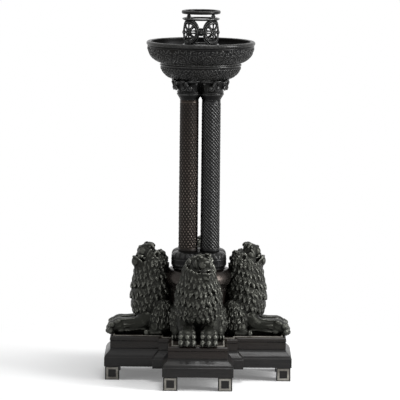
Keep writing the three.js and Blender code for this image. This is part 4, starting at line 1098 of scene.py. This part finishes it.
def hair_lock(path, outwards, width, thick, strands=3, wave=0.5):
    """A pointed lock of hair along a path: a thin body under wavy strands that meet in a curled tip."""
    count = len(path)
    shares = np.linspace(0, 1, count)
    rings, frames = [], []
    for index, share in enumerate(shares):
        way = unit(path[min(index + 1, count - 1)] - path[max(index - 1, 0)])
        out = unit(outwards[index] - way * np.dot(outwards[index], way))
        side = np.cross(way, out)
        half = width * (0.74 + 0.26 * math.sin(math.pi * min(share * 1.25, 1))) * (1 - share**3.2) + 0.12
        deep = thick * 0.7 * (1 - 0.75 * share**6) + 0.1
        rings.append([path[index] + side * half * a + out * deep * b for a, b in LOCK_SECTION])
        frames.append((share, path[index], side, out))
    parts = [lofted(rings)]
    radii = np.interp(shares, [0, 0.5, 0.85, 1], [1.0, 1.2, 1.1, 0.55])
    for strand, place in enumerate(np.linspace(-1, 1, strands)):
        line = []
        for share, point, side, out in frames:
            across = width * 0.62 * place * (1 - 0.82 * share**2.2)
            across += wave * math.sin(share * 7.5 + strand * 2.1)
            above = thick * (0.55 - 0.2 * abs(place)) + 0.35 * math.sin(share * 9 + strand * 1.7)
            line.append(point + side * across + out * above)
        parts.append(tube(line, radii, 7, up=frames[count // 2][3]))
    return parts


def mane_locks(chance):
    """Tiers of locks round the chest and the sides; every other tier is shifted by half a lock."""
    parts = []
    for tier, tip in enumerate(TIER_TIPS):
        for index in range(-10, 11):
            phi = (index + (0.5 if tier % 2 else 0)) * MANE_STEP
            if abs(phi) > MANE_END:
                continue
            lean = chance.uniform(-0.06, 0.06)
            low = tip + chance.uniform(-1.3, 1.3)
            length = MANE_LOCK_LENGTH + chance.uniform(-1.2, 1.2)
            path = []
            for share in np.linspace(0, 1, 9):
                bulge = -1.5 + 2.7 * math.sin(math.pi * min(share, 0.86) / 1.72) ** 1.3
                bulge += max(share - 0.86, 0) * 3
                bend = lean * share + 0.025 * math.sin(share * 6 + index)
                path.append(mane_point(phi + bend, low + length * (1 - share), bulge))
            half = np.interp(path[4][2], MANE_LEVELS, MANE_HALVES) * MANE_STEP * 0.52
            out = np.array([math.cos(phi), math.sin(phi), 0.12])
            parts += hair_lock(path, [out] * 9, half, 1.5)
    return parts


def ruff(chance):
    """Locks that stand round the face and down the back of the neck, their tips curling out."""
    parts = []
    for row, (inwards, lift, size) in enumerate(((0.0, 0.0, 1.1), (1.56, 4.4, 0.95))):
        for index in range(-11, 12):
            around = (index + 0.5 * row) * FACE_STEP
            side, up = math.sin(around), -math.cos(around)
            x = np.interp(up, [-1, 0.35, 1], [65.0, 43.5, 40.0]) - 1.2 * row
            z = np.interp(up, [-1, -0.35, 0.35, 1], [122.0, 127.0, 135.5, 140.5])
            tip = np.array([x, (15.6 - inwards) * side, z + lift * (1 - 0.85 * max(up, 0))])
            way = unit([-0.5 + 0.25 * up, 0.6 * side, -0.62 + 0.2 * up])
            out = unit([0.25 - 0.45 * up, side, 0.35 + 0.3 * up])
            length = (RUFF_LOCK_LENGTH + chance.uniform(-1, 1)) * size
            path = []
            for share in np.linspace(0, 1, 8):
                curl = -1.2 + 2.4 * math.sin(math.pi * share * 0.8) + 8.0 * max(share - 0.75, 0)
                path.append(tip - way * length * (1 - share) + out * curl)
            parts += hair_lock(path, [out] * 8, 1.9 * size, 1.3, 2, 0.4)
    return parts


def half_face(side):
    """Muzzle, brow, eye, cheek, lips, fangs and ear of one side."""

    def lump(x, y, z, halves, around=16, up=10, tip=0.0):
        return egg((x, side * y, z), halves, around, up, tip)

    def rod(points, radii, sides, count=None):
        path = [(x, side * y, z) for x, y, z in points]
        return tube(curve_through(path, count) if count else path, radii, sides)

    ear_x, ear_z = EARS[side]
    loop, spiral = np.linspace(-1.2, 4.2, 16), np.linspace(0, 5.4, 14)
    ear = [(ear_x + 2.9 * math.cos(t), 12.6 + 0.5 * math.cos(t), ear_z + 3.3 * math.sin(t)) for t in loop]
    curl = [(45.8 + 2.2 * math.cos(t), 12.6, 143.4 + 2.2 * math.sin(t)) for t in spiral]
    brow = [(57.2, 8.3, 156.6), (59.0, 8.0, 159.9), (62.0, 6.9, 161.4), (65.2, 4.4, 160.0)]
    cheek = [(60.8, 9.6, 155.4), (63.2, 9.6, 152.0), (64.9, 9.2, 148.5), (64.6, 8.8, 145.8)]
    upper_lip = [(65, 8.2, 138.2), (69.5, 7.8, 143.7), (74, 5.2, 147.7), (75.6, 0, 148.6)]
    lower_lip = [(64, 7.6, 133.6), (72, 6.8, 140.4), (77.5, 4.4, 145.0), (80.6, 0, 145.6)]
    fang = [1.2, 0.8, 0.35]
    return [
        lump(69.2, 4.0, 152.2, (5.6, 4.6, 5.4), 18, 12, tip=-20),
        lump(58.6, 4.6, 159.6, (3.7, 3.4, 2.8), tip=-12),
        rod(brow, 1.5, 9, 10),
        lump(62.2, 7.2, 157.8, (1.9, 1.7, 1.8), 12, 8),
        rod(cheek, np.linspace(1.4, 2.0, 10), 9, 10),
        lump(60.6, 9.4, 147.0, (5.0, 3.2, 5.6)),
        rod(upper_lip, np.linspace(0.6, 1.35, 14), 9, 14),
        rod(lower_lip, np.linspace(0.7, 1.4, 14), 9, 14),
        rod([(73.2, 5.2, 147.4), (73.6, 5.3, 145.2), (73.8, 5.2, 143.2)], fang, 8),
        rod([(76.3, 4.6, 143.8), (75.8, 4.7, 145.8), (75.2, 4.6, 147.2)], fang, 8),
        lump(45.6, 5.2, 148.4, (4.0, 3.4, 4.3), tip=12),
        rod(ear, 1.4, 9),
        lump(ear_x - 0.6, 10.4, ear_z - 0.4, (4.2, 3.6, 4.4)),
        rod(curl, 1.2, 8),
    ]


def lion_head():
    """Head raised, mouth open, drawn in the lion's middle plane."""
    skull = egg((57, 0, 144.0), (13.6, 12.6, 8.8), 28, 16)
    nape = egg((55.5, 0, 139), (15.5, 14.4, 12.0), 28, 16, tip=-20)
    face = egg((64, 0, 151.6), (10.3, 8.8, 9.6), 26, 16)
    forehead = egg((60, 0, 155.8), (5.6, 6.4, 5.2), 20, 12)
    nose = egg((71.5, 0, 157.0), (2.7, 3.7, 2.3), 16, 10, tip=-20)
    chin = egg((77.3, 0, 139.6), (5.2, 6.0, 6.4), 22, 14)
    jaw = tube([(60, 0, 133), (66, 0, 134.5), (72, 0, 137), (77, 0, 139)], [7.2, 6.6, 6.0, 5.4], 18)
    tongue = egg((70, 0, 142.0), (6.5, 4.2, 2.0), 16, 10, tip=-38)
    parts = [skull, nape, face, forehead, nose, chin, jaw] + half_face(-1) + half_face(1) + [tongue]
    for index in range(-3, 4):
        root = np.array([78.6 - abs(index) * 2.4, index * 2.2, 136.4 - abs(index) * 0.9])
        path = []
        for share in np.linspace(0, 1, 7):
            fall = [-3.2 * share + 1.0 * math.sin(math.pi * share), index * 0.3 * share, -6.5 * share]
            path.append(root + np.array(fall))
        parts += hair_lock(path, [np.array([1.0, 0.1 * index, -0.2])] * 7, 1.5, 1.1, 2, 0.3)
    return parts


def head_hollows():
    """(place, radius, depth) of the hollows pressed into the head."""
    hollows = []
    for side in (-1, 1):
        eye = [(64.4, 7.4, 158.4, 1.5, 1.0), (60.0, 8.6, 157.0, 1.5, 1.0), (62.6, 8.3, 155.4, 1.6, 0.9)]
        nostril_and_jaw = [(73.6, 1.8, 156.4, 1.1, 1.3), (61.6, 9.0, 135.6, 2.6, 3.0)]
        mouth = []
        for x, z in ((72.4, 145.4), (69.4, 142.2), (66.6, 139.6), (63.8, 137.0)):
            mouth += [(x, 7.2, z, 2.6, 4.0), (x + 0.6, 3.2, z + 0.6, 3.2, 4.0)]
        ear = [(EARS[side][0], 13.6, EARS[side][1], 2.3, 3.8)]
        for x, y, z, radius, depth in eye + nostril_and_jaw + mouth + ear:
            hollows.append(((x, side * y, z), radius, depth))
    return hollows


def turned_head(parts, yaw, tip):
    """Turns the head to the lion's left about the neck, and lowers it by tip degrees."""
    pivot = np.array([50.0, 0.0, 140.0])
    return [placed((points - pivot, faces), pivot, tip, yaw) for points, faces in parts]


def lion_paw(side):
    """A broad paw with three toes, a claw on each and a lump for the thumb."""
    middle = side * LEG_PLACE
    parts = [egg((94.5, middle, 62), (12.5, 10.3, 9.9), 28, 16, tip=8)]
    for offset, back in ((-7.3, 1.6), (0, 0.0), (7.3, 1.6)):
        y = middle + offset
        parts.append(egg((99 - back, y, 66.6), (5.6, 2.7, 3.4), tip=22))
        parts.append(egg((105.4 - back, y, 63.4), (4.4, 3.4, 3.7), 18, 12))
        parts.append(egg((107.3 - back, y, 56.4), (4.1, 3.7, 4.5), 18, 12))
        claw = [(x - back, y, z) for x, z in ((109.6, 57.6), (111.4, 56.2), (111.6, 54.2), (110.8, 52.8))]
        parts.append(tube(curve_through(claw, 7), [1.2, 1.15, 1.05, 0.95, 0.8, 0.55, 0.3], 8))
    parts.append(egg((92.5, middle + side * 8.4, 57.5), (4.6, 2.3, 3.6), 12, 8, tip=20))
    return parts


def lion_leg(side):
    """A foreleg that lies along the arm of the plinth, with tendons on its top and side."""
    middle = side * LEG_PLACE
    shape = [(58, side * 14.5, 79), (64, side * 14.2, 69), (73, side * 13.4, 63.2)]
    path = curve_through(shape + [(86, middle, 62.4), (96, middle, 62.3)], 18)
    radii = np.interp(np.arange(18), [0, 5, 9, 13, 17], [11.5, 11.2, 9.8, 9.2, 9.4])
    parts = [tube(path, radii, 24, up=(0.2, 0, 1))]
    parts.append(tube([(60, middle * 1.06, 57.6), (78, middle, 57.2), (97, middle, 57.0)], 6.8, 18))
    for offset in (-4.6, 0.4, 5.2):
        line = [(68, middle + offset * 0.7, 72.4), (76, middle + offset, 71.0)]
        line += [(86, middle + offset, 70.4 - abs(offset) * 0.12), (97, middle + offset * 1.3, 69.6)]
        parts.append(tube(curve_through(line, 12), 1.5, 9))
    for height, swing in ((66.2, 0.9), (62.6, -0.7), (59.0, 0.6)):
        line = []
        for t in np.linspace(0, 1, 14):
            y = middle + side * (9.0 + 0.5 * math.cos(t * 5))
            line.append((64 + 26 * t, y, height + swing * math.sin(t * 6) - 1.5 * t))
        parts.append(tube(line, 1.25, 8))
    return parts + lion_paw(side)


def lion_haunch(side, chance):
    """A folded hind leg with its foot, under four rows of locks."""
    x, y, z = HAUNCH
    foot = curve_through([(44, side * 27.2, 56.6), (52, side * 27.4, 56.4), (60, side * 26.6, 56.2)], 10)
    parts = [
        egg((x, side * y, z), (13.5, 11.0, 21.4), 28, 18, tip=6),
        egg((50.5, side * 24.6, 62.5), (8.5, 7.4, 10.4), 20, 12, tip=-18),
        tube(foot, [4.0, 4.2, 4.2, 4.1, 4.0, 4.0, 4.1, 4.2, 4.2, 4.0], 14, 0.95),
    ]
    for offset in (-3.6, 0, 3.6):
        parts.append(egg((62.2, side * 26.6 + offset, 56.0), (3.4, 1.95, 3.5), 12, 8))
    for row, level in enumerate((94, 86, 78, 70)):
        for index in range(-3, 5):
            turn = (index + 0.5 * (row % 2)) * 0.42 + chance.uniform(-0.06, 0.06)
            path = []
            for share in np.linspace(0, 1, 7):
                height = level - 10 * share + chance.uniform(-0.2, 0.2)
                wide = math.sqrt(max(1 - ((height - z) / 21.6) ** 2, 0.02))
                out = wide + 0.02 + 0.1 * math.sin(math.pi * min(share, 0.8) / 1.6)
                spot = (x + 13.5 * out * math.sin(turn), side * (y + 11.0 * out * math.cos(turn)), height)
                path.append(np.array(spot))
            outwards = [np.array([math.sin(turn), side * math.cos(turn), 0.15])] * 7
            parts += hair_lock(path, outwards, 2.4, 1.2, 2, 0.5)
    return parts


def lion_trunk():
    """The body under the mane, from the ground to the neck."""
    phis = np.linspace(-math.pi, math.pi, 40, endpoint=False)

    def section(height, centre, depth, half, tilt):
        lean = [height + tilt * (1 - math.cos(p)) for p in phis]
        return np.stack([centre + depth * np.cos(phis), half * np.sin(phis), lean], axis=1)

    foot = [section(GROUND + 0.2, 52, 13, 15, 0), section(58, 52, 14, 17, 0), section(66, 52, 16, 19, 4)]
    mane = [[mane_point(p, level, -1.2) for p in phis] for level in np.linspace(74, 122, 11)]
    neck = [section(130, 56.0, 18.5, 15.6, 3), section(135, 55.5, 16.5, 14.8, 3)]
    neck += [section(141, 54.5, 13.0, 12.6, 3), section(145, 54, 9, 9, 3)]
    return lofted(foot + mane + neck)


def cloud_noise(points, scale, seed):
    """Smooth random values from -1 to 1 on a lattice of the given spacing."""
    size = 64
    lattice = np.random.default_rng(seed).uniform(-1, 1, (size, size, size))
    where = points / scale
    low = np.floor(where).astype(int)
    part = where - low
    part = part * part * (3 - 2 * part)
    total = np.zeros(len(points))
    for corner in np.ndindex(2, 2, 2):
        weight = np.abs(1 - np.array(corner) - part).prod(axis=1)
        total += weight * lattice[tuple(((low + corner) % size).T)]
    return total


def grounded(points):
    """Nothing goes below the plinth's top, apart from the toes that hang over its edge."""
    floor = np.where(points[:, 0] < ARM_EDGE, GROUND, TOE_LOW)
    return np.column_stack([points[:, :2], np.maximum(points[:, 2], floor)])


def chased(mesh, hollows, creases, seed):
    """Presses the hollows into a cast lion, then raises curls and drills its hair."""
    points, normals = vertex_rows(mesh, "co") / MM, vertex_rows(mesh, "normal")
    x, y, z = points.T
    pressed = [(np.linalg.norm(points - place, axis=1) / radius, depth) for place, radius, depth in hollows]
    for across, up, radius, depth in creases:
        not_in_front = 9 * (normals[:, 0] < 0.1)
        pressed.append((np.hypot(y - across, z - up) / radius + not_in_front, depth))
    # A point that is already 2.5 mm deep isn't pressed any further.
    shift, face = np.zeros(len(points)), np.zeros(len(points))
    for away, depth in pressed:
        shift -= depth * np.clip(1 - away**2, 0, 1) * (shift > -2.5)
        face = np.maximum(face, np.clip(1.6 - away, 0, 1))

    # Hair covers the mane, the haunches and the back of the head; face, legs and paws stay smooth.
    front_of_face = np.clip((x - 56.5) / 2.0, 0, 1) * np.clip((z - 131) / 3.0, 0, 1)
    body_hair = np.clip((z - 75 - 0.36 * np.maximum(60 - x, 0)) / 3.0, 0, 1)
    haunch = np.clip((np.abs(y) - 24) / 2.0, 0, 1) * np.clip((57 - x) / 3.0, 0, 1)
    haunch *= np.clip((z - 60) / 3.0, 0, 1)
    hair = np.maximum(body_hair, haunch) * (1 - front_of_face) * (1 - face)
    in_hair, on_skin = cloud_noise(points, 2.3, seed), cloud_noise(points, 4.5, seed + 1)
    shift += 0.42 * hair * in_hair + 0.06 * (1 - hair) * on_skin

    # Curls stand a gap or more apart on the head; below them the drill has left its holes.
    gap, curl_radius, curl_height, hole_depth, hole_share = 2.9, 1.75, 1.25, 1.5, 0.36
    drill_count, drill_depth = 190, 1.3
    rng = np.random.default_rng(seed + 2)
    curls = np.flatnonzero((hair > 0.8) & (z > 133.5 + 0.15 * np.maximum(x - 40, 0)))
    rng.shuffle(curls)
    kept = np.zeros((0, 3))
    for place in points[curls]:
        if len(kept) == 0 or ((kept - place) ** 2).sum(1).min() > gap**2:
            kept = np.vstack([kept, place])
    for place in kept:
        away = np.linalg.norm(points - place, axis=1) / curl_radius
        hole = hole_depth * np.exp(-((away / hole_share) ** 2))
        shift += np.where(away < 1, curl_height * (1 - away**2) - hole, 0) * hair
    drills = np.flatnonzero((hair > 0.8) & (z < 134))
    for place in points[rng.choice(drills, min(drill_count, len(drills)), replace=False)]:
        shift -= drill_depth * np.clip(1 - ((points - place) ** 2).sum(1), 0, 1)

    points = grounded(points + normals * np.clip(shift, -4.2, 1.6)[:, None])
    mesh.vertices.foreach_set("co", (points * MM).ravel())
    mesh.update()
    return mesh


def lion_mesh(name, yaw, tip, creases=()):
    chance = random.Random(7)
    head = turned_head(ruff(chance) + lion_head(), yaw, tip)
    parts = [lion_trunk()] + mane_locks(chance) + head
    for side in (-1, 1):
        parts += lion_leg(side) + lion_haunch(side, chance)
    parts = [(grounded(points), faces) for points, faces in parts]
    mesh = cast(name, parts, 0.7)
    hollows = []
    for place, radius, depth in head_hollows():
        spots = turned_head([(np.array([place]), [])], yaw, tip)[0][0]
        hollows.append((spots[0], radius, depth))
    return mark_wear_and_shade(chased(mesh, hollows, creases, seed=5), rounds=9, scale=0.75)


def lions():
    """Three lions are one casting; the front one turns and lowers its head more."""
    mesh = lion_mesh("lion", yaw=16.0, tip=0.0)
    for index, name in enumerate(("right", "back", "left")):
        turn = index * QUARTER
        piece(f"lion_{name}_cast", mesh, LION, "stand", [f"lion_{name}"], turn=turn)
    # The front lion's ruff stands off its face on one side and leaves a deep curved gap.
    gap = [(6.5, 156.0), (11.0, 154.6), (15.0, 151.0), (17.6, 146.0), (18.8, 141.0), (19.0, 137.0)]
    gap_radius, gap_depth = 1.9, 3.0
    creases = [(y, z, gap_radius, gap_depth) for y, z in curve_through(gap, 14)]
    mesh = lion_mesh("lion_front", yaw=22.0, tip=20.0, creases=creases)
    piece("lion_front_cast", mesh, LION, "stand", ["lion_front"], turn=3 * QUARTER)


# Studio, in metres

CAMERA_DISTANCE = 3.971
CAMERA_HEIGHT = 0.714
CAMERA_LENS = 297.8
PITCH, ROLL, ASIDE, YAW = (math.radians(angle) for angle in (7.175, 0.56, -0.04, -0.011))
WHITE = (1, 1, 1)
WORLD_LIGHT = 0.32
FLOOR_GREY = 0.9
FLOOR_GLOW = 0.16
SHADOW_REACH = (0.16, 0.42)
FLOOR_HALF = 14.0


def camera():
    data = bpy.data.cameras.new("camera")
    data.lens, data.sensor_width = CAMERA_LENS, 36.0
    data.clip_start, data.clip_end = 0.1, 60
    obj = bpy.data.objects.new("camera", data)
    bpy.context.scene.collection.objects.link(obj)
    place = (CAMERA_DISTANCE * math.sin(ASIDE), -CAMERA_DISTANCE * math.cos(ASIDE), CAMERA_HEIGHT)
    aim = Matrix.Rotation(ASIDE + YAW, 4, "Z") @ Matrix.Rotation(QUARTER - PITCH, 4, "X")
    obj.matrix_world = Matrix.Translation(place) @ aim @ Matrix.Rotation(ROLL, 4, "Z")
    bpy.context.scene.camera = obj


def surroundings():
    """A white backdrop to the eye and in reflections, and a dimmer light for the rest."""
    world = bpy.data.worlds.new("studio")
    bpy.context.scene.world = world
    n = Nodes(world, "OutputWorld")
    seen = n.glow("Background", WHITE, 1.0)
    light = n.glow("Background", (0.98, 0.99, 1.0), WORLD_LIGHT)
    n.feed(n.surface, n.blend(n.seen_directly(), light, seen))


def floor():
    """The floor takes the object's shadow near it and turns to plain white farther out."""
    material = bpy.data.materials.new("floor")
    n = Nodes(material)
    plain = n.add("BsdfDiffuse", {"Color": (FLOOR_GREY,) * 3}).outputs[0]
    near = n.add("AddShader", {0: plain, 1: n.glow("Emission", WHITE, FLOOR_GLOW)}).outputs[0]
    away = n.add("VectorMath", {0: n.place()}, operation="LENGTH").outputs["Value"]
    fade = n.level(away, 0.0, 1.0, *SHADOW_REACH, interpolation_type="SMOOTHSTEP")
    shown = n.blend(fade, near, n.glow("Emission", WHITE, 1.0))
    n.feed(n.surface, n.blend(n.seen_directly(), plain, shown))
    mesh = bpy.data.meshes.new("floor")
    corners = [(-1, -1), (1, -1), (1, 1), (-1, 1)]
    mesh.from_pydata([(x * FLOOR_HALF, y * FLOOR_HALF, 0) for x, y in corners], [], [(0, 1, 2, 3)])
    mesh.materials.append(material)
    obj = bpy.data.objects.new("floor", mesh)
    bpy.context.scene.collection.objects.link(obj)


def lamp(name, place, aim, size, power, tall=None):
    """A soft lamp: a disk, or an upright rectangle where it has its own height."""
    data = bpy.data.lights.new(name, "AREA")
    data.shape = "RECTANGLE" if tall else "DISK"
    data.size, data.size_y, data.energy = size, tall or size, power
    obj = bpy.data.objects.new(name, data)
    bpy.context.scene.collection.objects.link(obj)
    obj.location = place
    obj.rotation_mode = "QUATERNION"
    obj.rotation_quaternion = (Vector(aim) - Vector(place)).to_track_quat("-Z", "Y")


def studio():
    bpy.context.scene.view_settings.view_transform = "Standard"
    camera()
    surroundings()
    floor()
    lamp("key", place=(1.97, -0.74, 0.95), aim=(0, 0, 0.3), size=0.45, power=52, tall=1.8)
    lamp("top", place=(0.3, -0.2, 2.6), aim=(0, 0, 0.2), size=1.0, power=30)
    lamp("fill", place=(-1.9, -1.6, 1.2), aim=(0, 0, 0.2), size=1.3, power=1.6)


plinth()
bowl_lower()
bowl_upper()
columns()
pedestal()
column_base()
capital()
crown_gallery()
crown_rim()
crown_pan()
lions()
dress_nodes()
studio()
